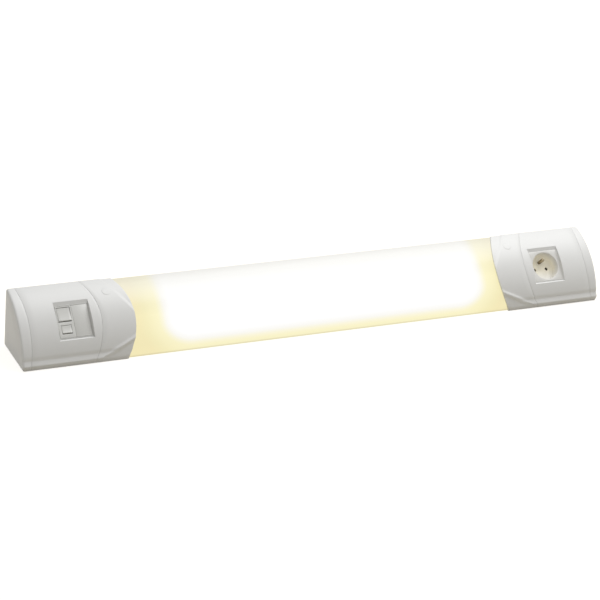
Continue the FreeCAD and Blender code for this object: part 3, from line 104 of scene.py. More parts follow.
class WallLightFront(bpy.types.PropertyGroup):
    """Section and seams of the moulded front."""

    radius: length("Front radius", "Radius of the convex front", 0.098)
    behind: length("Axis behind wall", "Distance of the front's axis behind the wall", 0.0168)
    below: length("Axis below base", "Distance of the front's axis below the underside", 0.0145)
    slope: angle("Module slope", "Elevation of the module faces' normal", 44)
    base_drop: length("Screw height", "Height of the wall screws over the underside", 0.038)
    arc_end: length("Arc end height", "Height where the skirt starts", 0.017)
    crease_depth: length("Crease depth", "Depth of the skirt's hollow line", 0.0760)
    crease_height: length("Crease height", "Height of the skirt's hollow line", 0.0130)
    nose_depth: length("Nose depth", "Depth of the skirt's nose", 0.080)
    nose_height: length("Nose height", "Height of the skirt's nose", 0.0074)
    root_depth: length("Root depth", "Depth of the skirt at the underside", 0.0772)
    inner_depth: length("Inner depth", "Depth of the covers' inner wall", 0.0736)
    top_ease: length("Top edge", "Rounding of the edge against the wall", 0.0015)
    nose_round: length("Nose rounding", "How far the nose is softened", 0.0012)
    wall: length("Cover wall", "Thickness of the moulded covers", 0.0022)
    cap_seam: length("Cap seam", "Cap seam from the end, at the middle of the front", 0.0145)
    cap_bow: length("Cap seam radius", "Radius of the cap seam's bow", 0.380)
    collar_seam: length("Collar seam", "Collar seam from the end, at the middle of the front", 0.112)
    collar_end: length("Collar end", "Diffuser edge from the end, at the middle of the front", 0.158)
    collar_bow: length("Collar seam radius", "Radius of both collar seams' bow", 0.111)
    seam_gap: length("Seam gap", "Open width of the seams", 0.00014)
    hook_depth: length("Hook depth", "Depth of the hook that the boxes hang by", 0.010)
    hook_height: length("Hook height", "Height of the hook's underside", 0.0757)
    cap_round: length("Cap rounding", "Rounding of the caps' outer edges", 0.003)
    edge_roll: length("Edge roll", "Softening of the moulded edges", 0.00025)
    plug: length("Screw plug", "Diameter of the round plugs", 0.0116)
    plug_place: length("Plug place", "Plug from the end of the fitting", 0.1275)
    plug_angle: angle("Plug angle", "Elevation of the plug's axis", 65.3)
    diffuser_radius: length("Diffuser radius", "Radius of the diffuser's outer face", 0.0955)
    diffuser_front: length("Diffuser front", "Depth of the diffuser's upright lower edge", 0.0753)
    diffuser_wall: length("Diffuser wall", "Thickness of the diffuser", 0.0016)
    field_end: length("White field end", "Straight core of the white field from the end of the fitting", 0.230)
    field_low: length("White field low", "Lower limit of the white field's core under the middle of the front", 0.015)
    field_side: length("White field side", "Reach of the white field past its core along the fitting", 0.0425)
    field_drop: length("White field drop", "Reach of the white field past its core down the front", 0.030)
    field_shift: length("White field shift", "White field's middle from the middle of the fitting", 0.007)


class WallLightModules(bpy.types.PropertyGroup):
    """Module openings, switches and socket."""

    place: length("Module place", "Middle of a module from the end of the fitting", 0.0756)
    drop: length("Module drop", "Depth of the module faces under the crown of the front", 0.005)
    width: length("Module width", "Width of a module", 0.0466)
    height: length("Module height", "Height of a module", 0.0454)
    depth: length("Module depth", "Depth of a module's side walls", 0.0092)
    window_width: length("Window width", "Width of the opening", 0.0472)
    surround_half: length("Surround half width", "Half width of the opening around the switch", 0.0233)
    socket_half: length("Socket half width", "Half width of the opening around the socket", 0.0227)
    window_half: length("Window half height", "Half height of the opening's straight part", 0.0229)
    window_top: length("Window top", "Upper edge of the opening over its middle", 0.0274)
    window_low: length("Window bottom", "Lower edge of the opening under its middle", 0.0254)
    window_sill: length("Window sill", "Depth of the opening's sloping edges under the module faces", 0.0006)
    rim: length("Surround", "Width of the switch surround", 0.001)
    gap: length("Insert gap", "Gap round the inserts", 0.0003)
    split: length("Insert split", "Gap between the two inserts", 0.0002)
    switch_place: length("Switch offset", "Rockers from the middle of the module", 0.0111)
    rocker_gap: length("Rocker gap", "Gap round the rockers", 0.0003)
    rocker_tilt: angle("Rocker tilt", "Tilt of a rocker at rest", 6)
    pivot_depth: length("Pivot depth", "Depth of the rockers' pivots", 0.0042)
    rocker_proud: length("Rocker proud", "Height of a level rocker over the cover", 0.0002)
    well: length("Well diameter", "Diameter of the socket's well", 0.0394)
    well_depth: length("Well depth", "Depth of the socket's well", 0.0155)
    well_rim: length("Well rim", "Rounding of the well's edge", 0.0008)
    pin_hole: length("Pin hole", "Diameter of the pin holes", 0.005)
    pin_pitch: length("Pin pitch", "Distance between the pin holes", 0.019)
    earth_pin: length("Earth pin", "Diameter of the earth pin", 0.0048)
    earth_rise: length("Earth pin rise", "Earth pin above the line of the pin holes", 0.010)
    earth_length: length("Earth pin length", "Length of the earth pin in the well", 0.014)
    earth_root: length("Earth pin root", "Diameter of the earth pin's root, behind the well", 0.0042)
    earth_shoulder: length("Earth pin shoulder", "Height of the earth pin's shoulder over the well's floor", 0.0002)


class WallLightFinishes(bpy.types.PropertyGroup):
    """Colours as sRGB hex values, and the strengths of the lights."""

    cover: shade("Cover", "Moulded covers", "E7E7E5")
    module: shade("Module", "Switch mouldings", "DADAD6")
    socket: shade("Socket", "Socket moulding", "E4E3DF")
    # Painted warm light deep in the socket's well
    well: shade("Well", "Painted warm light on the socket moulding at the bottom of its well", "EEE8D5")
    opal: shade("Opal acrylic", "Body colour of the diffuser", "7A7871")
    glow: shade("Glow", "Diffuser over the tube", "F1F2F4")
    glow_edge: shade("Glow edge", "Diffuser at the edge of the white field", "ECEBE8")
    glow_pale: shade("Glow pale", "Diffuser just past the white field", "EBE9DD")
    glow_cream: shade("Glow cream", "Diffuser a little past the white field", "EBE7CE")
    glow_end: shade("Glow end", "Diffuser between the white field and the collars", "EAE4BA")
    glow_low: shade("Glow low", "Diffuser beside the collars", "E8E1B4")
    glow_side: shade("Glow side", "Diffuser under the collars' edges", "E4DCAC")
    glow_corner: shade("Glow corner", "Diffuser at its lower corners", "E3D8A7")
    glow_top: shade("Glow top", "What the diffuser pales to along its upper edge", "E4E3DC")
    steel: shade("Powder coat", "Chassis and brackets", "E6E6E2")
    enamel: shade("Enamel", "Reflector", "F1F1EC")
    zinc: shade("Zinc", "Screws", "B9BBB8")
    rubber: shade("Rubber", "Cable bush", "24241F")
    inner: shade("Inner mouldings", "Holders, terminal block and mechanism", "D6D6D0")
    brass: shade("Brass", "Contacts and earth pin", "B3A68C")
    # Tarnish cloud on the contacts, and painted shade at the earth pin's root
    tarnish_and_shade: shade("Tarnish and shade", "Painted shade at the earth pin's root, and tarnish on the contacts", "8C7F6B")
    glass: shade("Tube", "Coated glass of the tube", "F2F3EE")
    floor: shade("Floor", "Floor under the fitting", "9F9783")
    key: strength("Key light", "Power of the large upper light", 24.5, "POWER")
    sky: strength("Sky", "Strength of the even light", 0.54)
    lit: strength("Lit", "Strength of the diffuser's glow", 1.0)


# The diffuser's glow: colours by distance from the white field's core, as a share of GLOW_REACH times the field's
# reach, and changes between two heights up the front
GLOW_REACH = 1.8
GLOW_STOPS = {"glow": 0.36, "glow_edge": 0.47, "glow_pale": 0.51, "glow_cream": 0.55, "glow_end": 0.62,
              "glow_low": 0.72, "glow_side": 0.84, "glow_corner": 0.98}
PALE_TOP = {"From_Min": 0.012, "From_Max": 0.052, "To_Min": 0.0, "To_Max": 0.5}
DIM_TOP = {"From_Min": -0.005, "From_Max": 0.040, "To_Min": 1.0, "To_Max": 0.75}
DIM_LOWER_EDGE = {"From_Min": -0.0532, "From_Max": -0.0508, "To_Min": 0.7, "To_Max": 1.0}
# Painted shade on the pin by depth under the module's face, the well's painted warm light by height, and its painted
# glow
PIN_ROOT_SHADE = {"From_Min": 0.002, "From_Max": 0.013}
WELL_LIGHT_FADE = {"From_Min": -0.016, "From_Max": -0.002}
WELL_PAINTED_GLOW = 0.12
# Noise values between which a pattern goes from one end to the other
NOISE_SPAN = {"From_Min": 0.3, "From_Max": 0.7}

# Sloping corners of the collars: a point of the crease as place from the end and height up the front, how far the
# crease runs along for each unit of height, the ridge along it, and the widths of the slopes before and after it
Corner = namedtuple("Corner", "place level run ridge before after")
UPPER_CORNER = Corner(place=0.127, level=0.051, run=-0.62, ridge=0.0, before=0.004, after=0.005)
LOWER_CORNER = Corner(place=0.117, level=-0.047, run=2.3, ridge=0.0014, before=0.0036, after=0.0045)
# Depth of the corners' facets, and the height over which they run out at the underside
CORNER_FLOOR = 0.0011
CORNER_FOOT = 0.006

# Width, height and place up the module of each rocker, and the sizes of their caps
Rocker = namedtuple("Rocker", "width height place")
ROCKERS = {"upper": Rocker(0.0176, 0.0182, 0.0101), "lower": Rocker(0.0134, 0.0104, -0.0102)}
ROCKER_DISH = 0.00035
ROCKER_EDGE = 0.0005
ROCKER_CAP = 0.002
# A rocker's stem: inset from each side, half height, top under the cap's top, and lower end over the pivot
STEM_INSET, STEM_HALF, STEM_TOP, STEM_END = 0.0036, 0.002, 0.0019, -0.0016

# Socket face: outer edge as inset and depth, step at the edge of the well's floor, and the holes' lead and depth
SOCKET_EDGE = ((0.0, 0.0004), (0.00012, 0.00012), (0.0004, 0.0))
FLOOR_STEP = 0.0002
HOLE_LEAD, HOLE_DEPTH = 0.0004, 0.0025
# Earth pin: length of its root behind the well's floor, edge of its shoulder, and turn of its nose
PIN_ROOT, PIN_EDGE, PIN_NOSE = 0.0125, 0.0001, math.radians(84)

# Edges, thickness, walls and the skirt's levels of the switch plates
PLATE_EDGE = 0.0003
PLATE_THICK = 0.0016
PLATE_WALL = 0.0014
PLATE_SKIRT = (-0.0010, -0.0082)

# Rings of a screw plug: share of its radius, and height over the cover
PLUG_RINGS = ((1.0, -0.0010), (1.0, 0.00005), (0.97, 0.0002), (0.92, 0.00025), (0.6, 0.00025), (0.25, 0.00025))

# Stage: the key light's place and diameter in metres, and the camera, solved from the outline in the photo, with
# its angles in degrees and its lens in mm
KEY_PLACE = (0.75, 0.3, 1.8)
KEY_SIZE = 1.6
CAMERA_TURN, CAMERA_RISE, CAMERA_LEAN = -26.59, 25.50, 5.42
CAMERA_DISTANCE = 2.9766
CAMERA_TARGET = (-0.00557, 0, -0.02283)
CAMERA_LENS = 129.7
FLOOR_SIZE = 12.0
FLOOR_WHITE = 0.85
WHITE = (1, 1, 1, 1)
SIDES = ((-1, "left"), (1, "right"))
# Blender's settings for nodes that are used more than once
ADD_CLAMPED = {"operation": "ADD", "use_clamp": True}
COLOURS = {"data_type": "RGBA"}


# Colours and materials

def linear(text):
    """Linear colour of an sRGB hex value."""
    channels = [int(text[i:i + 2], 16) / 255 for i in (0, 2, 4)]
    return [c / 12.92 if c <= 0.04045 else ((c + 0.055) / 1.055) ** 2.4 for c in channels] + [1.0]


def fill(tree, made, **links):
    """Fill a node's inputs by name or number with outputs or values; a node stands for its first output."""
    for name, source in links.items():
        numbered = name[0] == "i" and name[1:].isdigit()
        socket = made.inputs[int(name[1:]) if numbered else name.replace("_", " ")]
        if isinstance(source, bpy.types.Node):
            source = source.outputs[0]
        if isinstance(source, bpy.types.NodeSocket):
            tree.links.new(source, socket)
        else:
            socket.default_value = source
    return made


def node(tree, kind, settings=None, **links):
    """Add a node; settings fill its own values, and links its inputs."""
    made = tree.nodes.new("ShaderNode" + kind)
    for name, setting in (settings or {}).items():
        setattr(made, name, setting)
    return fill(tree, made, **links)


def new_material(name):
    """Node material, its principled shader and its object coordinates."""
    material = bpy.data.materials.get(name)
    if material:
        bpy.data.materials.remove(material)
    material = bpy.data.materials.new(name)
    material.use_nodes = True
    tree = material.node_tree
    tree.nodes.clear()
    shader = node(tree, "BsdfPrincipled")
    node(tree, "OutputMaterial", Surface=shader)
    return material, tree, shader, node(tree, "TexCoord").outputs["Object"]


def find_node(tree, kind):
    return next(made for made in tree.nodes if made.type == kind)


def measure(tree, place, start, direction):
    """Distance from a point, measured along a direction."""
    offset = node(tree, "VectorMath", {"operation": "SUBTRACT"}, i0=place, i1=start)
    return node(tree, "VectorMath", {"operation": "DOT_PRODUCT"}, i0=offset, i1=direction).outputs["Value"]


def per_metre(millimetres):
    """Texture scale that gives a feature this many millimetres across."""
    return 1000 / millimetres


def grain_bump(tree, shader, place, grain, height, softness=0.5, edge=0.0):
    """Fine moulded or sprayed grain, over edges that are softened by a real radius in metres."""
    texture = node(tree, "TexNoise", Vector=place, Scale=per_metre(grain), Detail=3.0, Roughness=softness)
    bump = node(tree, "Bump", Strength=1.0, Distance=height, Height=texture)
    if edge:
        fill(tree, bump, Normal=node(tree, "Bevel", {"samples": 4}, Radius=edge))
    fill(tree, shader, Normal=bump)
    return texture


def mottle(tree, place, low, high, size, detail=2.0):
    """Slow change between two near colours."""
    texture = node(tree, "TexNoise", Vector=place, Scale=per_metre(size), Detail=detail)
    share = node(tree, "MapRange", Value=texture, **NOISE_SPAN)
    return node(tree, "Mix", COLOURS, i0=share, i6=low, i7=high).outputs[2]


def darker(colour, share):
    return [c * share for c in colour[:3]] + [1.0]


def moulded_plastic(name, colour, roughness, ior, grain, height, edge):
    """Injection moulded plastic: an even colour with a faint cloud and the fine grain of a spark-eroded mould."""
    material, tree, shader, place = new_material(name)
    base = linear(colour)
    cloud = mottle(tree, place, darker(base, 0.985), base, 38)
    texture = grain_bump(tree, shader, place, grain, height, 0.55, edge)
    rough = node(tree, "MapRange", Value=texture, To_Min=roughness - 0.04, To_Max=roughness + 0.04, **NOISE_SPAN)
    fill(tree, shader, Base_Color=cloud, Roughness=rough, IOR=ior)
    return material


def coated_steel(name, colour, roughness, grain, height):
    """Sprayed and baked paint on sheet steel: the slight orange peel breaks up its reflections."""
    material, tree, shader, place = new_material(name)
    base = linear(colour)
    cloud = mottle(tree, place, darker(base, 0.97), base, 60)
    grain_bump(tree, shader, place, grain, height, 0.4, 0.0003)
    fill(tree, shader, Base_Color=cloud, Roughness=roughness, IOR=1.5)
    return material


def bare_metal(name, colour, worn, roughness, grain, height):
    """Plated or drawn metal: cloudy tarnish and fine drawing marks along the piece."""
    material, tree, shader, place = new_material(name)
    cloud = mottle(tree, place, linear(worn), linear(colour), 4, 4.0)
    texture = grain_bump(tree, shader, place, grain, height, 0.6, 0.0002)
    rough = node(tree, "MapRange", Value=texture, To_Min=roughness - 0.08, To_Max=roughness + 0.1)
    fill(tree, shader, Base_Color=cloud, Roughness=rough, Metallic=1.0)
    return material


def opal_acrylic(finishes, front):
    """Extruded opal acrylic over a lit tube.

    A white field over the tube fades through cream to amber towards the collars and the lower edge, where
    the light crosses more of the acrylic.
    """
    material, tree, shader, place = new_material("Opal acrylic extruded, lit")
    grain_bump(tree, shader, place, 0.8, 0.000004)
    # Distance from the core of the white field, in units of the field's reach
    across = node(tree, "Math", {"operation": "SUBTRACT"}, i0=node(tree, "SeparateXYZ", Vector=place),
                  i1=front.field_shift)
    along = node(tree, "Math", {"operation": "ABSOLUTE"}, i0=across)
    past_end = node(tree, "Math", {"operation": "SUBTRACT"}, i0=along, i1=HALF - front.field_end)
    up = measure(tree, place, front_point(front, 0, 0, 0), up_direction(front))
    under = node(tree, "Math", {"operation": "SUBTRACT"}, i0=-front.field_low, i1=up)
    pair = node(tree, "CombineXYZ", X=past_end, Y=under)
    outside = node(tree, "VectorMath", {"operation": "MAXIMUM"}, i0=pair, i1=(0, 0, 0))
    oval = node(tree, "VectorMath", {"operation": "DIVIDE"}, i0=outside, i1=(front.field_side, front.field_drop, 1))
    away = node(tree, "VectorMath", {"operation": "LENGTH"}, i0=oval).outputs["Value"]
    share = node(tree, "Math", {"operation": "DIVIDE", "use_clamp": True}, i0=away, i1=GLOW_REACH)
    field = node(tree, "ValToRGB", Fac=share)
    ramp = field.color_ramp.elements
    first, *middle, last = GLOW_STOPS.values()
    ramp[0].position, ramp[1].position = first, last
    for position in middle:
        ramp.new(position)
    for element, name in zip(ramp, GLOW_STOPS):
        element.color = linear(getattr(finishes, name))
    # Towards its upper edge the diffuser turns away from the tube, so it glows less there and paler
    pale = node(tree, "MapRange", Value=up, **PALE_TOP)
    blend = node(tree, "Mix", COLOURS, i0=pale, i6=field, i7=linear(finishes.glow_top)).outputs[2]
    turned = node(tree, "MapRange", Value=up, **DIM_TOP)
    # Its lower edge bends back behind the front, where less of the tube's light comes through
    edge = node(tree, "MapRange", Value=up, **DIM_LOWER_EDGE)
    both = node(tree, "Math", {"operation": "MULTIPLY"}, i0=turned, i1=edge)
    dimmed = node(tree, "VectorMath", {"operation": "SCALE"}, i0=blend, Scale=both)
    fill(tree, shader, Base_Color=linear(finishes.opal), Roughness=0.32, IOR=1.49, Emission_Color=dimmed,
         Emission_Strength=finishes.lit)
    return material


def root_shaded_pin(finishes, front, modules):
    """Drawn brass pin, bright at its tip and darker brown towards its root, deeper in the well: painted shade."""
    material, tree, shader, place = new_material("Brass drawn, painted shade at the root")
    tip = front_point(front, 0, modules.earth_rise, front.radius - modules.drop)
    # Painted shade: the pin darkens towards its root, deeper in the well
    share = node(tree, "MapRange", Value=measure(tree, place, tip, -out_direction(front)), **PIN_ROOT_SHADE)
    blend = node(tree, "Mix", COLOURS, i0=share, i6=linear(finishes.brass), i7=linear(finishes.tarnish_and_shade)).outputs[2]
    grain_bump(tree, shader, place, 0.4, 0.00002)
    fill(tree, shader, Base_Color=blend, Metallic=1.0, Roughness=0.38)
    return material


def cover_material(finishes):
    """ABS, moulded: satin, with the fine grain of a spark-eroded mould, drawn at 0.6 mm so that it shows."""
    return bpy.data.materials.get("ABS moulded, satin") or moulded_plastic(
        "ABS moulded, satin", finishes.cover, 0.42, 1.53, 0.6, 0.00001, 0.0005)


def module_material(finishes):
    """Polycarbonate, moulded: a smoother, slightly glossier white than the covers."""
    return bpy.data.materials.get("Polycarbonate moulded, low gloss") or moulded_plastic(
        "Polycarbonate moulded, low gloss", finishes.module, 0.3, 1.58, 0.9, 0.000006, 0.00025)


def socket_material(finishes, front, modules):
    """Polycarbonate, moulded: whiter than the switch, with painted warm light that turns the bottom of its well cream,
    and a painted glow in the well.
    """
    material = moulded_plastic(
        "Polycarbonate moulded, white socket, painted well light", finishes.socket, 0.34, 1.58, 0.9, 0.000006, 0.00025)
    tree = material.node_tree
    shader = find_node(tree, "BSDF_PRINCIPLED")
    place = find_node(tree, "TEX_COORD").outputs["Object"]
    plain = shader.inputs["Base Color"].links[0].from_socket
    # Painted warm light: cream deeper in the well
    face = front_point(front, 0, 0, front.radius - modules.drop)
    depth = measure(tree, place, face, -out_direction(front))
    share = node(tree, "MapRange", Value=depth, From_Min=0.001, From_Max=modules.well_depth)
    # The painted warm light fades below the pin holes, where the well's side is lit from above
    up = measure(tree, place, front_point(front, 0, 0, 0), up_direction(front))
    painted_light_share = node(tree, "Math", {"operation": "MULTIPLY"}, i0=share, i1=node(tree, "MapRange", Value=up, **WELL_LIGHT_FADE))
    blend = node(tree, "Mix", COLOURS, i0=painted_light_share, i6=plain, i7=linear(finishes.well)).outputs[2]
    # A painted glow, stronger deeper in the well, keeps the well's shade from going dark
    painted_glow = node(tree, "Math", {"operation": "MULTIPLY"}, i0=share, i1=WELL_PAINTED_GLOW)
    fill(tree, shader, Base_Color=blend, Emission_Color=blend, Emission_Strength=painted_glow)
    return material


# Geometry of the front

def out_direction(front):
    return Vector((0, -math.cos(front.slope), math.sin(front.slope)))


def up_direction(front):
    return Vector((0, math.sin(front.slope), math.cos(front.slope)))


def front_point(front, x, up, out):
    """Front coordinates to the frame's."""
    axis = Vector((x, front.behind, -front.below - front.base_drop))
    return axis + up_direction(front) * up + out_direction(front) * out


def module_matrix(front, modules, side):
    """Places a module drawn with its face in the plane z = 0."""
    matrix = Matrix.Identity(4)
    matrix.col[1] = (*up_direction(front), 0)
    matrix.col[2] = (*out_direction(front), 0)
    matrix.translation = front_point(front, side * (HALF - modules.place), 0, front.radius - modules.drop)
    return matrix


def axis_2d(front):
    return Vector((-front.behind, -front.below))


def turn_of(front, point):
    """Turn about the front's axis at which a section point lies."""
    return math.atan2(*reversed(point - axis_2d(front)))


def round_point(front, radius, turn):
    return axis_2d(front) + Vector((math.cos(turn), math.sin(turn))) * radius


def arc_point(front, radius, depth):
    """Section point of an arc about the front's axis at a depth from the wall."""
    return Vector((depth, math.sqrt(radius ** 2 - (front.behind + depth) ** 2) - front.below))


def spread(start, end, count):
    """Evenly spaced values from the start up to but without the end."""
    return [start + (end - start) * k / count for k in range(count)]


def climb(front, point):
    """Height up the front of a section point (depth, height)."""
    spot = point - axis_2d(front)
    return spot.y * math.cos(front.slope) - spot.x * math.sin(front.slope)


def meet(p, u, q, v):
    """Crossing of two lines, each a point and a direction."""
    share = ((q - p).x * v.y - (q - p).y * v.x) / (u.x * v.y - u.y * v.x)
    return p + u * share


def soften(before, corner, after, reach, steps=4):
    """Points of a soft bend that replaces a corner."""
    first = corner + (before - corner).normalized() * reach
    last = corner + (after - corner).normalized() * reach
    return [first.lerp(corner, k / steps).lerp(corner.lerp(last, k / steps), k / steps) for k in range(steps + 1)]


def section(front, inset=0.0, marks=(), steps=CAP_STEPS):
    """Outer outline as (depth, height), from the wall at the top down to the underside's edge.

    Each outline has the same number of points, whatever its inset.  marks are heights up the front that
    a point falls on.
    """
    centre = axis_2d(front)
    radius = front.radius - inset
    arc_depth = math.sqrt(front.radius ** 2 - (front.below + front.arc_end) ** 2) - front.behind
    corners = [
        Vector((arc_depth, front.arc_end)),
        Vector((front.crease_depth, front.crease_height)),
        Vector((front.nose_depth, front.nose_height)),
        Vector((front.root_depth, 0)),
    ]
    lines = []
    for start, stop in zip(corners, corners[1:]):
        run = (stop - start).normalized()
        lines.append((start + Vector((run.y, -run.x)) * inset, run))
    lines.append((Vector((0, inset)), Vector((-1, 0))))
    from_centre = lines[0][0] - centre
    along = from_centre.dot(lines[0][1])
    share = -along - math.sqrt(along ** 2 - from_centre.length_squared + radius ** 2)
    arc_stop = lines[0][0] + lines[0][1] * share
    crease = meet(*lines[0], *lines[1])
    nose = meet(*lines[1], *lines[2])
    root = meet(*lines[2], *lines[3])
    top = arc_point(front, radius, 0)
    ease = front.top_ease
    first = turn_of(front, arc_point(front, radius, ease))
    last = turn_of(front, arc_stop)
    turns = spread(first, last, steps) + [last]
    for mark in marks:
        wanted = front.slope + math.asin(mark / front.radius)
        nearest = min(range(1, steps), key=lambda k: abs(turns[k] - wanted))
        turns[nearest] = wanted
    points = [top - Vector((0, ease)), top - Vector((-0.3 * ease, 0.32 * ease))]
    points += [round_point(front, radius, turn) for turn in turns]
    points += soften(arc_stop, crease, nose, CREASE_REACH)
    points += soften(crease, nose, root, front.nose_round)
    points += soften(nose, root, Vector((0, inset)), ROOT_REACH, 2)
    return points


def inward(points):
    """Unit vectors into the wall at each point of an outline that runs down the front."""
    result = []
    for k in range(len(points)):
        run = points[min(k + 1, len(points) - 1)] - points[max(k - 1, 0)]
        result.append(Vector((run.y, -run.x)).normalized())
    return result


def bow(apex, radius, up):
    """Place of a bowed seam, from the end of the fitting, at a height up the front."""
    return apex - radius + math.sqrt(max(radius ** 2 - up ** 2, 0))


def seat(front, x, point):
    """Frame point of a section point at a place from the left end."""
    return Vector((x - HALF, -point.x, point.y - front.base_drop))


def everywhere(_row, _column):
    return True


def add_cells(bm, grid, keep=everywhere):
    """Add the faces between the rows of a grid of vertices; keep leaves out the cells of an opening."""
    for r, (one, two) in enumerate(zip(grid, grid[1:])):
        for c in range(len(one) - 1):
            if keep(r, c):
                bm.faces.new((one[c], two[c], two[c + 1], one[c + 1]))


def skin(bm, rows, keep=everywhere):
    """Add a grid of points with its faces."""
    grid = [[bm.verts.new(point) for point in row] for row in rows]
    add_cells(bm, grid, keep)
    return grid


def lining(front, outer, skirt_depth, hook, opening=None):
    """Inner outline of a cover, one point for each point of its outer outline.

    Behind the arc it ends in a straight skirt, and a hook, where asked, lies along the wall. Between the
    first and last row of an opening its points lie straight behind those of the outer outline.
    """
    radius = front.radius - front.wall
    back = front.hook_depth if hook else 0.0
    steps = len(outer) - HEAD_POINTS - SKIRT_POINTS

    def turn_at(depth):
        return math.acos((depth + front.behind) / radius)

    first, last = turn_at(back), turn_at(skirt_depth)
    turns = spread(first, last, steps - 1) + [last]
    if opening:
        top, low = (row - HEAD_POINTS for row in opening)
        own = [turn_of(front, point) for point in outer[HEAD_POINTS:]]
        turns = spread(first, own[top], top) + own[top:low] + spread(own[low], last, steps - 1 - low) + [last]
    arc = [round_point(front, radius, turn) for turn in turns]
    if hook:
        head = [Vector((0, front.hook_height)), Vector((back, front.hook_height))]
    else:
        small = math.radians(0.2)
        head = [arc[0], round_point(front, radius, first - small)]
        arc[0] = round_point(front, radius, first - 2 * small)
    foot = arc[-1].y
    skirt = [Vector((skirt_depth, foot * (1 - (k + 1) / SKIRT_POINTS))) for k in range(SKIRT_POINTS)]
    return head + arc + skirt


def shell_mesh(outer, inner, keep=everywhere):
    """Closed cover from an outer and an inner grid of equal size."""
    bm = bmesh.new()
    out, back = (skin(bm, grid, keep) for grid in (outer, inner))
    for end in (0, -1):
        add_cells(bm, [[row[end] for row in grid] for grid in (out, back)])
        add_cells(bm, [out[end], back[end]])
    return bm, out, back


def cover_grids(front, outer, inner, columns, drop=None):
    """Outer and inner grid of a cover from its outlines.

    columns gives the places and edge drops at a height up the front, and drop how far in the outer outline
    moves at a place.
    """
    grids = [], []
    for point, into in zip(outer, inward(outer)):
        radial = (axis_2d(front) - point).normalized()
        grids[0].append([
            seat(front, x, point + radial * (drop(front, x, point) if drop else 0.0) + into * edge)
            for x, edge in columns(climb(front, point))])
    for point in inner:
        grids[1].append([seat(front, x, point) for x, _ in columns(climb(front, point))])
    return grids


def roll(front):
    """How a moulded edge turns in: distance from the edge and drop under the surface."""
    size = front.edge_roll
    return [(0.0, size), (0.29 * size, 0.29 * size), (size, 0.0)]


def seam_columns(front, near, far, middle):
    """Places and edge drops between two seams: both rolled edges, and plain places between them."""
    edges = roll(front)
    return ([(near + distance, drop) for distance, drop in edges] + [(x, 0.0) for x in middle]
            + [(far - distance, drop) for distance, drop in reversed(edges)])


def add_object(name, data):
    made = bpy.data.objects.new(name, data)
    bpy.context.scene.collection.objects.link(made)
    return made


def finish_piece(name, bm, material, replaced, body="fitting"):
    """Turn a mesh into a piece that stands for a CAD node and rides on its body."""
    bmesh.ops.remove_doubles(bm, verts=bm.verts, dist=WELD)
    mesh = bpy.data.meshes.new(name)
    bm.to_mesh(mesh)
    bm.free()
    for face in mesh.polygons:
        face.use_smooth = True
    mesh.set_sharp_from_angle(angle=SMOOTH_ANGLE)
    mesh.materials.append(material)
    piece = add_object(name, mesh)
    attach(piece, body)
    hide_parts(replaced)


def finish_cover(name, bm, side, finishes, replaced):
    """Finish a cover, which is drawn for the left end and mirrored for the right one."""
    bmesh.ops.recalc_face_normals(bm, faces=bm.faces)
    if side > 0:
        bmesh.ops.transform(bm, matrix=Matrix.Scale(-1, 4, (1, 0, 0)), verts=bm.verts)
        bmesh.ops.reverse_faces(bm, faces=bm.faces)
    finish_piece(name, bm, cover_material(finishes), replaced)


def join(bm, other):
    """Move one mesh into another."""
    spare = bpy.data.meshes.new("spare")
    other.to_mesh(spare)
    other.free()
    bm.from_mesh(spare)
    bpy.data.meshes.remove(spare)


def soft_edges(bm, size, steps=2):
    """Round every edge that turns by more than a few degrees."""
    bmesh.ops.recalc_face_normals(bm, faces=bm.faces)
    sharp = [edge for edge in bm.edges if len(edge.link_faces) == 2 and edge.calc_face_angle() > math.radians(25)]
    bmesh.ops.bevel(bm, geom=sharp, offset=size, segments=steps, affect="EDGES", profile=0.5, clamp_overlap=True)


def slab_mesh(xs, ys, top, bottom, holes=()):
    """Plate between breakpoints with rectangular holes, each hole (x0, x1, y0, y1)."""
    bm = bmesh.new()
    xs = sorted({*xs, *(value for hole in holes for value in hole[:2])})
    ys = sorted({*ys, *(value for hole in holes for value in hole[2:])})

    def solid(i, j):
        if not (0 <= i < len(xs) - 1 and 0 <= j < len(ys) - 1):
            return False
        x = (xs[i] + xs[i + 1]) / 2
        y = (ys[j] + ys[j + 1]) / 2
        return not any(hole[0] < x < hole[1] and hole[2] < y < hole[3] for hole in holes)

    corners = {}

    def corner(i, j, z):
        if (i, j, z) not in corners:
            corners[i, j, z] = bm.verts.new((xs[i], ys[j], z))
        return corners[i, j, z]

    for i in range(len(xs) - 1):
        for j in range(len(ys) - 1):
            if not solid(i, j):
                continue
            ring = [(i, j), (i + 1, j), (i + 1, j + 1), (i, j + 1)]
            bm.faces.new([corner(*spot, top) for spot in ring])
            bm.faces.new([corner(*spot, bottom) for spot in reversed(ring)])
            sides = [((i, j - 1), 0, 1), ((i + 1, j), 1, 2), ((i, j + 1), 2, 3), ((i - 1, j), 3, 0)]
            for neighbour, first, second in sides:
                if not solid(*neighbour):
                    a, b = ring[first], ring[second]
                    bm.faces.new([corner(*a, top), corner(*a, bottom), corner(*b, bottom), corner(*b, top)])
    bmesh.ops.dissolve_limit(bm, angle_limit=math.radians(1), verts=bm.verts, edges=bm.edges)
    return bm


def ring_points(radius, z, count=WELL_COUNT):
    return [Vector((radius * math.cos(2 * math.pi * k / count), radius * math.sin(2 * math.pi * k / count), z))
            for k in range(count)]


def loft(bm, loops):
    """Join closed loops of equal length, one after the other."""
    rings = [[bm.verts.new(point) for point in loop] for loop in loops]
    for one, two in zip(rings, rings[1:]):
        for k in range(len(one)):
            bm.faces.new((one[k], one[k - 1], two[k - 1], two[k]))
    return rings


def settings(context):
    scene = context.scene
    return scene.wall_light_front, scene.wall_light_modules, scene.wall_light_finishes


# Operators, one for each piece or group of like pieces

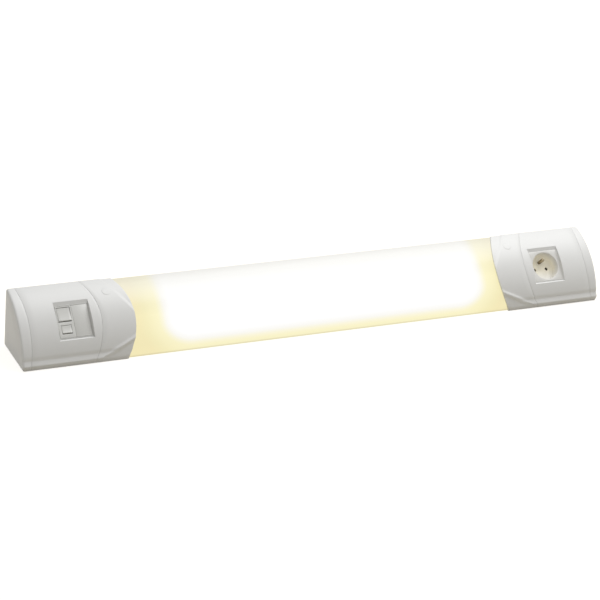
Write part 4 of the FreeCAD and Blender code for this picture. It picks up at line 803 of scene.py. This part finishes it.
class WALLLIGHT_OT_diffuser(bpy.types.Operator):
    """Draw the opal diffuser with its rounded lower edge"""

    bl_idname = "wall_light.diffuser"
    bl_label = "Diffuser"

    def execute(self, context):
        front, _, finishes = settings(context)
        low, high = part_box("diffuser")
        base = low.z + front.base_drop
        wall = front.diffuser_wall

        def outline(inset):
            radius = front.diffuser_radius - inset
            face = front.diffuser_front - inset
            ends = [turn_of(front, arc_point(front, radius, depth)) for depth in (CLEARANCE, face)]
            turns = spread(*ends, DIFFUSER_STEPS) + ends[1:]
            return [round_point(front, radius, turn) for turn in turns] + [Vector((face, base + inset))]

        outer = outline(0)
        outer = outer[:-1] + soften(outer[-2], outer[-1], Vector((0, base)), DIFFUSER_REACH)
        foot = [Vector((front.inner_depth, base + rise)) for rise in (0, wall)]
        loop = outer + foot + outline(wall)[::-1]
        places = [low.x + HALF, low.x + HALF + 0.02, HALF, high.x + HALF - 0.02, high.x + HALF]
        bm = bmesh.new()
        skin(bm, [[seat(front, x, point) for x in places] for point in loop + loop[:1]])
        bmesh.ops.remove_doubles(bm, verts=bm.verts, dist=WELD)
        bmesh.ops.holes_fill(bm, edges=[edge for edge in bm.edges if edge.is_boundary], sides=0)
        finish_piece("opal_diffuser", bm, opal_acrylic(finishes, front), "diffuser")
        return {"FINISHED"}


def ease(share):
    """Smooth step from 0 to 1."""
    share = min(max(share, 0.0), 1.0)
    return share * share * (3 - 2 * share)


def corner_at(up):
    return UPPER_CORNER if up > 0 else LOWER_CORNER


def corner_drop(front, x, point):
    """How far a sloping corner moves a section point in, at a place from the end."""
    up = climb(front, point)
    corner = corner_at(up)
    across = (x - corner.place - (up - corner.level) * corner.run) / math.hypot(1, corner.run)
    past = ease(across / corner.after)
    over = (point - axis_2d(front)).length - (front.radius - CORNER_FLOOR * past)
    cut = max(over, 0) * min(point.y / CORNER_FOOT, 1) if across > 0 else 0.0
    crest = ease(1 + across / corner.before) if across < 0 else 1 - past
    return cut - corner.ridge * crest * ease((point.y - front.nose_height) / CORNER_FOOT)


class WALLLIGHT_OT_collars(bpy.types.Operator):
    """Draw the two bowed collars with their sloping corners"""

    bl_idname = "wall_light.collars"
    bl_label = "Collars"

    def execute(self, context):
        front, _, finishes = settings(context)
        outer = section(front, steps=COLLAR_STEPS)
        inner = lining(front, outer, front.diffuser_front + CLEARANCE, False)
        grids = cover_grids(front, outer, inner, lambda up: self.columns(front, up), corner_drop)
        for side, name in SIDES:
            bm, _, _ = shell_mesh(*grids)
            finish_cover(f"{name}_bowed_collar", bm, side, finishes, f"{name}_collar")
        return {"FINISHED"}

    @staticmethod
    def columns(front, up):
        """Places and edge drops along a collar: its edges, and close steps across the corner's slopes."""
        near = bow(front.collar_seam + front.seam_gap, front.collar_bow + front.seam_gap, up)
        far = bow(front.collar_end, front.collar_bow, up)
        start = near + front.edge_roll
        stop = far - front.edge_roll
        corner = corner_at(up)
        crease = corner.place + (up - corner.level) * corner.run
        width = math.hypot(1, corner.run)
        stops = [start, crease - corner.before * width, crease, crease + corner.after * width, stop]
        for k in (1, 2, 3):
            stops[k] = min(max(stops[k], start + COLUMN_ROOM * k), stop - COLUMN_ROOM * (4 - k))
        middle = [x for first, last, count in zip(stops, stops[1:], (5, 6, 6, 5)) for x in spread(first, last, count)]
        return seam_columns(front, near, far, middle[1:])


class WALLLIGHT_OT_end_boxes(bpy.types.Operator):
    """Draw the switch and socket housings with their funnel-shaped openings"""

    bl_idname = "wall_light.end_boxes"
    bl_label = "End boxes"

    def execute(self, context):
        front, modules, finishes = settings(context)
        outer = section(front, marks=(modules.window_top, -modules.window_low), steps=BOX_STEPS)
        rows = [min(range(len(outer)), key=lambda k: abs(climb(front, outer[k]) - up))
                for up in (modules.window_top, -modules.window_low)]
        inner = lining(front, outer, front.inner_depth, True, rows)
        grids = cover_grids(front, outer, inner, lambda up: self.columns(front, modules, up))
        columns = [len(roll(front)) + k for k in (3, 13)]

        def keep(r, c):
            return not (rows[0] <= r < rows[1] and columns[0] <= c < columns[1])

        for side, name, half in ((-1, "switch", modules.surround_half), (1, "socket", modules.socket_half)):
            bm, out, back = shell_mesh(*grids, keep)
            self.add_funnel(bm, out, back, front, modules, rows, columns, half)
            finish_cover(f"{name}_box_cover", bm, side, finishes, f"{name}_housing")
        return {"FINISHED"}

    @staticmethod
    def columns(front, modules, up):
        """Places and edge drops along an end box: its edges and the opening's sides."""
        near = bow(front.cap_seam + front.seam_gap, front.cap_bow + front.seam_gap, up)
        far = bow(front.collar_seam, front.collar_bow, up)
        stop = far - front.edge_roll
        left = modules.place - modules.window_width / 2
        right = min(modules.place + modules.window_width / 2, stop - SEAM_ROOM)
        middle = spread(near + front.edge_roll, left, 4)[1:] + spread(left, right, 10) + spread(right, stop, 3)
        return seam_columns(front, near, far, middle)

    @staticmethod
    def add_funnel(bm, out, back, front, modules, rows, columns, half):
        """Add the opening's sloping sides, which end close around a module of the given half width."""
        centre = modules.place - HALF
        deep = front.radius - modules.drop - modules.depth
        level = front.radius - modules.drop - modules.window_sill
        first, last = columns
        strips = []
        for row, up in zip(rows, (modules.window_half, -modules.window_half)):
            border = out[row][first:last + 1]
            places = [centre + min(max(vertex.co.x - centre, -half), half) for vertex in border]
            sill, base = ([bm.verts.new(front_point(front, x, up, depth)) for x in places] for depth in (level, deep))
            add_cells(bm, [border, sill, base, back[row][first:last + 1]])
            strips.append((sill, base))
        for column, end in ((first, 0), (last, -1)):
            tops, lows = [(sill[end], base[end]) for sill, base in strips]
            side, behind = ([grid[r][column] for r in range(rows[0], rows[1] + 1)] for grid in (out, back))
            shares = spread(0, 1, len(side) - 1)[1:]
            under = [tops[0]] + [bm.verts.new(tops[0].co.lerp(lows[0].co, share)) for share in shares] + [lows[0]]
            add_cells(bm, [side, under])
            bm.faces.new(under + [lows[1], tops[1]])
            bm.faces.new(behind + [lows[1], tops[1]])


class WALLLIGHT_OT_end_caps(bpy.types.Operator):
    """Draw the two end caps with their rounded outer edges"""

    bl_idname = "wall_light.end_caps"
    bl_label = "End caps"

    def execute(self, context):
        front, _, finishes = settings(context)
        round_steps = 7
        plain = self.closed(section(front), 0.0)
        into = inward(plain)
        into[-2:] = [Vector((0, 1)), Vector((0, 1))]
        seams = [bow(front.cap_seam, front.cap_bow, climb(front, point)) for point in plain]
        loops = []
        for k in range(round_steps, -1, -1):
            turn = math.pi / 2 * k / round_steps
            outline = self.closed(section(front, front.cap_round * (1 - math.cos(turn))), 0.0)
            x = front.cap_round * (1 - math.sin(turn))
            loops.append([seat(front, x, point) for point in outline])
        for share in (0.33, 0.66):
            loops.append([seat(front, front.cap_round + (seam - front.cap_round) * share, point)
                          for seam, point in zip(seams, plain)])
        for distance, drop in reversed(roll(front)):
            loops.append([seat(front, seam - distance, point + inner * drop)
                          for seam, point, inner in zip(seams, plain, into)])
        pocket = self.closed(section(front, front.wall), front.wall)
        loops.append([seat(front, seam, point) for seam, point in zip(seams, pocket)])
        loops.append([seat(front, front.wall, point) for point in pocket])
        for side, name in SIDES:
            bm = bmesh.new()
            rings = loft(bm, loops)
            bm.faces.new(rings[0])
            bm.faces.new(rings[-1])
            finish_cover(f"{name}_rounded_cap", bm, side, finishes, f"{name}_end_cap")
        return {"FINISHED"}

    @staticmethod
    def closed(outline, back):
        """Outline carried on along the underside to the wall, nowhere nearer to the wall than back."""
        base = outline[-1]
        whole = outline + [Vector((base.x * 0.5, base.y)), Vector((0, base.y))]
        return [Vector((max(point.x, back), point.y)) for point in whole]


class WALLLIGHT_OT_screw_plugs(bpy.types.Operator):
    """Draw the round plugs that cover the collar screws"""

    bl_idname = "wall_light.screw_plugs"
    bl_label = "Screw plugs"

    def execute(self, context):
        front, _, finishes = settings(context)
        tilt = front.plug_angle - front.slope
        radius = front.plug / 2
        loops = []
        for share, height in PLUG_RINGS:
            loop = []
            for point in ring_points(radius * share, 0, PLUG_COUNT):
                turn = tilt + point.y / front.radius
                out = front.radius + height
                loop.append(front_point(front, front.plug_place - HALF + point.x, out * math.sin(turn),
                                        out * math.cos(turn)))
            loops.append(loop)
        for side, name in SIDES:
            bm = bmesh.new()
            bm.faces.new(loft(bm, loops)[-1])
            finish_cover(f"{name}_round_plug", bm, side, finishes, f"{name}_screw_plug")
        return {"FINISHED"}


class WALLLIGHT_OT_switch_plates(bpy.types.Operator):
    """Draw the switch surround and its two half inserts"""

    bl_idname = "wall_light.switch_plates"
    bl_label = "Switch plates"

    def execute(self, context):
        front, modules, finishes = settings(context)
        material = module_material(finishes)
        place = module_matrix(front, modules, -1)
        half_width = modules.width / 2
        half_height = modules.height / 2
        inner_width = half_width - modules.rim
        inner_height = half_height - modules.rim
        hole = (-inner_width, inner_width, -inner_height, inner_height)
        surround = slab_mesh((-half_width, half_width), (-half_height, half_height), 0, -modules.depth, [hole])
        soft_edges(surround, PLATE_EDGE)
        bmesh.ops.transform(surround, matrix=place, verts=surround.verts)
        finish_piece("switch_surround", surround, material, "switch_frame")
        top = inner_height - modules.gap
        side = inner_width - modules.gap
        windows = [rocker_window(modules, rocker) for rocker in ROCKERS.values()]
        for x0, x1, holes, name, replaced in (
                (modules.split / 2, side, (), "plain_half_plate", "blank_plate"),
                (-side, -modules.split / 2, windows, "switch_half_plate", "switch_cover")):
            plate = slab_mesh((x0, x1), (-top, top), 0, -PLATE_THICK, holes)
            soft_edges(plate, PLATE_EDGE)
            # The outer walls go down to the surround's ledge
            hole = (x0 + PLATE_WALL, x1 - PLATE_WALL, -top + PLATE_WALL, top - PLATE_WALL)
            skirt = slab_mesh((x0, x1), (-top, top), *PLATE_SKIRT, [hole])
            bmesh.ops.recalc_face_normals(skirt, faces=skirt.faces)
            join(plate, skirt)
            bmesh.ops.transform(plate, matrix=place, verts=plate.verts)
            finish_piece(name, plate, material, replaced)
        return {"FINISHED"}


def rocker_window(modules, rocker):
    """Opening round a rocker, with room for its swing."""
    arm = modules.pivot_depth + modules.rocker_proud
    tilt = modules.rocker_tilt
    reach = rocker.height / 2 * math.cos(tilt) + arm * math.sin(tilt) + modules.rocker_gap
    across = rocker.width / 2 + modules.rocker_gap
    middle = -modules.switch_place
    return (middle - across, middle + across, rocker.place - reach, rocker.place + reach)


def stations(half, count):
    """Places across a rocker's cap: both rolled edges, and even steps between them."""
    edge = [-half, -half + 0.3 * ROCKER_EDGE]
    return edge + spread(-half + ROCKER_EDGE, half - ROCKER_EDGE, count) + [half - ROCKER_EDGE] + [
        -place for place in reversed(edge)]


class WALLLIGHT_OT_rockers(bpy.types.Operator):
    """Draw the two rockers with a shallow dish and rounded edges"""

    bl_idname = "wall_light.rockers"
    bl_label = "Rockers"

    def execute(self, context):
        front, modules, finishes = settings(context)
        material = module_material(finishes)
        place = module_matrix(front, modules, -1)
        top = modules.pivot_depth + modules.rocker_proud
        for name, rocker in ROCKERS.items():
            bm = self.cap(rocker, top)
            half = rocker.width / 2 - STEM_INSET
            join(bm, slab_mesh((-half, half), (-STEM_HALF, STEM_HALF), top - STEM_TOP, STEM_END))
            swing = Matrix.Translation((-modules.switch_place, rocker.place, -modules.pivot_depth))
            swing @= Matrix.Rotation(-modules.rocker_tilt, 4, "X")
            bmesh.ops.transform(bm, matrix=place @ swing, verts=bm.verts)
            finish_piece(f"{name}_dished_rocker", bm, material, f"{name}_rocker", f"{name}_rocker")
        return {"FINISHED"}

    @staticmethod
    def cap(rocker, top):
        """Cap of a rocker: rolled edges and a dish of a fraction of a millimetre across its height."""
        half_width = rocker.width / 2
        half_height = rocker.height / 2

        def fall(distance):
            share = max(1 - distance / ROCKER_EDGE, 0)
            return ROCKER_EDGE * (1 - math.sqrt(max(1 - share * share, 0)))

        rows = []
        for y in reversed(stations(half_height, ROCKER_STEPS[1])):
            hollow = ROCKER_DISH * (1 - (y / half_height) ** 2)
            rows.append([Vector((x, y, top - hollow - max(fall(half_width - abs(x)), fall(half_height - abs(y)))))
                         for x in stations(half_width, ROCKER_STEPS[0])])
        bm = bmesh.new()
        grid = skin(bm, rows)
        border = grid[0] + [row[-1] for row in grid[1:-1]] + grid[-1][::-1] + [row[0] for row in grid[-2:0:-1]]
        under = [bm.verts.new((vertex.co.x, vertex.co.y, top - ROCKER_CAP)) for vertex in border]
        for k in range(len(border)):
            bm.faces.new((border[k - 1], border[k], under[k], under[k - 1]))
        bm.faces.new(under)
        bmesh.ops.recalc_face_normals(bm, faces=bm.faces)
        return bm


class WALLLIGHT_OT_socket_face(bpy.types.Operator):
    """Draw the socket face with its round well and pin holes"""

    bl_idname = "wall_light.socket_face"
    bl_label = "Socket face"

    def execute(self, context):
        front, modules, finishes = settings(context)
        half_width = modules.width / 2
        half_height = modules.height / 2
        radius = modules.well / 2

        def square(inset, z):
            """Ring that is pushed out to the module's outline, less an inset."""
            loop = []
            for point in ring_points(1.0, z):
                reach = min((half_width - inset) / max(abs(point.x), 1e-9),
                            (half_height - inset) / max(abs(point.y), 1e-9))
                loop.append(Vector((point.x * reach, point.y * reach, z)))
            return loop

        rim = modules.well_rim
        deep = -modules.well_depth
        loops = [square(0, -modules.depth)] + [square(inset, -depth) for inset, depth in SOCKET_EDGE]
        for k in range(6):
            turn = math.pi / 2 * k / 5
            loops.append(ring_points(radius + rim * (1 - math.sin(turn)), -rim * (1 - math.cos(turn))))
        loops += [ring_points(radius, deep + 3 * FLOOR_STEP), ring_points(radius - FLOOR_STEP, deep + FLOOR_STEP)]
        bm = bmesh.new()
        loft(bm, loops)
        join(bm, self.floor(modules, radius - FLOOR_STEP, deep))
        bmesh.ops.remove_doubles(bm, verts=bm.verts, dist=WELD)
        bmesh.ops.recalc_face_normals(bm, faces=bm.faces)
        if max(bm.faces, key=lambda face: face.calc_center_median().z).normal.z < 0:
            bmesh.ops.reverse_faces(bm, faces=bm.faces)
        bmesh.ops.transform(bm, matrix=module_matrix(front, modules, 1), verts=bm.verts)
        finish_piece("socket_face", bm, socket_material(finishes, front, modules), "socket_insert")
        return {"FINISHED"}

    @staticmethod
    def floor(modules, radius, deep):
        """The well's floor with its two pin holes and the earth pin's hole."""
        bm = bmesh.new()

        def rim(loops):
            """Edges of the last loop."""
            ring = loft(bm, loops)[-1]
            return [bm.edges.get((ring[k - 1], ring[k])) for k in range(len(ring))]

        edges = rim([ring_points(radius, deep + FLOOR_STEP), ring_points(radius - 2 * FLOOR_STEP, deep)])
        half_pitch = modules.pin_pitch / 2
        for x, y, hole in ((-half_pitch, 0, modules.pin_hole / 2), (half_pitch, 0, modules.pin_hole / 2),
                           (0, modules.earth_rise, modules.earth_root / 2 + 0.0001)):
            rings = ((hole, HOLE_DEPTH), (hole, HOLE_LEAD), (hole + 0.3 * HOLE_LEAD, 0.3 * HOLE_LEAD),
                     (hole + HOLE_LEAD, 0))
            edges += rim([[point + Vector((x, y, 0)) for point in ring_points(size, deep - under, HOLE_COUNT)]
                          for size, under in rings])
        bmesh.ops.triangle_fill(bm, use_beauty=True, edges=edges, normal=Vector((0, 0, 1)))
        return bm


class WALLLIGHT_OT_earth_pin(bpy.types.Operator):
    """Draw the round-nosed earth pin, which stands on its shoulder over a narrower root"""

    bl_idname = "wall_light.earth_pin"
    bl_label = "Earth pin"

    def execute(self, context):
        front, modules, finishes = settings(context)
        radius = modules.earth_pin / 2
        tip = -modules.well_depth + modules.earth_length
        neck = modules.earth_root / 2
        floor = -modules.well_depth
        shoulder = floor + modules.earth_shoulder
        loops = [ring_points(size, level, PIN_COUNT) for size, level in (
            (neck, floor - PIN_ROOT), (neck, shoulder), (radius - PIN_EDGE, shoulder), (radius, shoulder + PIN_EDGE))]
        for k in range(9):
            turn = PIN_NOSE * k / 8
            loops.append(ring_points(radius * math.cos(turn), tip - radius + radius * math.sin(turn), PIN_COUNT))
        bm = bmesh.new()
        rings = loft(bm, loops)
        bm.faces.new(rings[-1])
        bm.faces.new(rings[0])
        bmesh.ops.recalc_face_normals(bm, faces=bm.faces)
        place = module_matrix(front, modules, 1) @ Matrix.Translation((0, modules.earth_rise, 0))
        bmesh.ops.transform(bm, matrix=place, verts=bm.verts)
        finish_piece("round_nosed_earth_pin", bm, root_shaded_pin(finishes, front, modules), "earth_pin")
        return {"FINISHED"}


class WALLLIGHT_OT_inner_finishes(bpy.types.Operator):
    """Give the chassis, control gear, lamp and fixings their finishes"""

    bl_idname = "wall_light.inner_finishes"
    bl_label = "Inner finishes"

    def execute(self, context):
        _, _, finishes = settings(context)
        coat = coated_steel("Steel sheet, powder coated", finishes.steel, 0.45, 1.2, 0.00002)
        enamel = coated_steel("Steel sheet, gloss enamel", finishes.enamel, 0.18, 2.5, 0.00001)
        zinc = bare_metal("Steel, zinc plated", finishes.zinc, "8F9189", 0.35, 0.5, 0.00001)
        brass = bare_metal("Brass, drawn", finishes.brass, finishes.tarnish_and_shade, 0.34, 0.4, 0.00001)
        rubber = moulded_plastic("Rubber moulded, matt", finishes.rubber, 0.75, 1.52, 0.5, 0.00003, 0.0003)
        inner = moulded_plastic("PBT moulded, matt", finishes.inner, 0.5, 1.6, 0.6, 0.00001, 0.0003)
        glass = moulded_plastic("Glass drawn, phosphor coated", finishes.glass, 0.1, 1.5, 3.0, 0.000002, 0.0)
        finish = {
            coat: ["back_chassis", "left_lamp_bracket", "right_lamp_bracket"],
            enamel: ["reflector"],
            zinc: ["gear_screws", "end_cap_screws", "collar_screws", "module_screws"],
            brass: ["live_contact", "neutral_contact"],
            rubber: ["cable_grommet"],
            inner: ["terminal_block", "ballast", "left_lampholder", "right_lampholder", "switch_body", "socket_body"],
            glass: ["fluorescent_tube"],
        }
        for material, names in finish.items():
            for name in names:
                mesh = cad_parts[name].data
                mesh.materials.clear()
                mesh.materials.append(material)
        return {"FINISHED"}


class WALLLIGHT_OT_stage(bpy.types.Operator):
    """Set the floor, the lights, the sky and the camera"""

    bl_idname = "wall_light.stage"
    bl_label = "Stage"

    def execute(self, context):
        front, _, finishes = settings(context)
        self.make_floor(-front.base_drop, finishes)
        self.make_sky(context.scene, finishes)
        self.make_light(finishes)
        self.make_camera(context.scene)
        context.scene.view_settings.view_transform = "Standard"
        return {"FINISHED"}

    @staticmethod
    def make_floor(level, finishes):
        bm = bmesh.new()
        bmesh.ops.create_grid(bm, x_segments=1, y_segments=1, size=FLOOR_SIZE, matrix=Matrix.Translation((0, 0, level)))
        mesh = bpy.data.meshes.new("floor")
        bm.to_mesh(mesh)
        bm.free()
        material, tree, shader, _ = new_material("Pale floor, matt")
        fill(tree, shader, Base_Color=linear(finishes.floor), Roughness=0.9)
        # The camera and mirror-like surfaces see some white added to the lit floor, which keeps its soft shadows
        rays = node(tree, "LightPath").outputs
        seen = node(tree, "Math", ADD_CLAMPED, i0=rays["Is Camera Ray"], i1=rays["Is Glossy Ray"])
        either = node(tree, "Math", ADD_CLAMPED, i0=seen, i1=rays["Is Transmission Ray"])
        share = node(tree, "Math", {"operation": "MULTIPLY"}, i0=either, i1=FLOOR_WHITE)
        white = node(tree, "Emission", Color=WHITE, Strength=share)
        fill(tree, find_node(tree, "OUTPUT_MATERIAL"), Surface=node(tree, "AddShader", i0=shader, i1=white))
        mesh.materials.append(material)
        add_object("floor", mesh)

    @staticmethod
    def make_sky(scene, finishes):
        world = bpy.data.worlds.new("Even white sky")
        scene.world = world
        world.use_nodes = True
        tree = world.node_tree
        tree.nodes.clear()
        rays = node(tree, "LightPath").outputs
        seen = node(tree, "Math", {"operation": "MAXIMUM"}, i0=rays["Is Camera Ray"], i1=rays["Is Transmission Ray"])
        lit, white = (node(tree, "Background", Color=WHITE, Strength=power) for power in (finishes.sky, 1.0))
        node(tree, "OutputWorld", Surface=node(tree, "MixShader", i0=seen, i1=lit, i2=white))

    @staticmethod
    def make_light(finishes):
        light = bpy.data.lights.new("key_light", "AREA")
        light.shape = "DISK"
        light.size = KEY_SIZE
        light.energy = finishes.key
        lamp = add_object("key_light", light)
        lamp.location = KEY_PLACE
        lamp.rotation_euler = (-Vector(KEY_PLACE)).to_track_quat("-Z", "Y").to_euler()

    @staticmethod
    def make_camera(scene):
        turn, rise, lean = (math.radians(a) for a in (CAMERA_TURN, CAMERA_RISE, CAMERA_LEAN))
        back = Vector((math.sin(turn) * math.cos(rise), -math.cos(turn) * math.cos(rise), math.sin(rise)))
        right = Vector((math.cos(turn), math.sin(turn), 0))
        up = back.cross(right)
        leaned_right = right * math.cos(lean) + up * math.sin(lean)
        leaned_up = up * math.cos(lean) - right * math.sin(lean)
        data = bpy.data.cameras.new("camera")
        data.sensor_width = 36.0
        data.lens = CAMERA_LENS
        data.clip_end = 50.0
        camera = add_object("camera", data)
        matrix = Matrix((leaned_right, leaned_up, back)).transposed().to_4x4()
        matrix.translation = Vector(CAMERA_TARGET) + back * CAMERA_DISTANCE
        camera.matrix_world = matrix
        scene.camera = camera


OPERATORS = (
    WALLLIGHT_OT_diffuser,
    WALLLIGHT_OT_collars,
    WALLLIGHT_OT_end_boxes,
    WALLLIGHT_OT_end_caps,
    WALLLIGHT_OT_screw_plugs,
    WALLLIGHT_OT_switch_plates,
    WALLLIGHT_OT_rockers,
    WALLLIGHT_OT_socket_face,
    WALLLIGHT_OT_earth_pin,
    WALLLIGHT_OT_inner_finishes,
    WALLLIGHT_OT_stage,
)


class WALLLIGHT_PT_panel(bpy.types.Panel):
    """Sizes, finishes and pieces of the wall light"""

    bl_label = "Wall light"
    bl_idname = "WALLLIGHT_PT_panel"
    bl_space_type = "VIEW_3D"
    bl_region_type = "UI"
    bl_category = "Wall light"

    def draw(self, context):
        for group in settings(context):
            box = self.layout.box()
            for name in group.bl_rna.properties.keys():
                if name not in ("rna_type", "name"):
                    box.prop(group, name)
        for operator in OPERATORS:
            self.layout.operator(operator.bl_idname)


GROUPS = {
    "wall_light_front": WallLightFront,
    "wall_light_modules": WallLightModules,
    "wall_light_finishes": WallLightFinishes,
}


def register():
    for name, group in GROUPS.items():
        bpy.utils.register_class(group)
        setattr(bpy.types.Scene, name, PointerProperty(type=group))
    for operator in OPERATORS:
        bpy.utils.register_class(operator)
    bpy.utils.register_class(WALLLIGHT_PT_panel)


def unregister():
    bpy.utils.unregister_class(WALLLIGHT_PT_panel)
    for operator in reversed(OPERATORS):
        bpy.utils.unregister_class(operator)
    for name, group in GROUPS.items():
        delattr(bpy.types.Scene, name)
        bpy.utils.unregister_class(group)


def main():
    register()
    for operator in OPERATORS:
        group, name = operator.bl_idname.split(".")
        getattr(getattr(bpy.ops, group), name)()


if __name__ == "__main__":
    main()
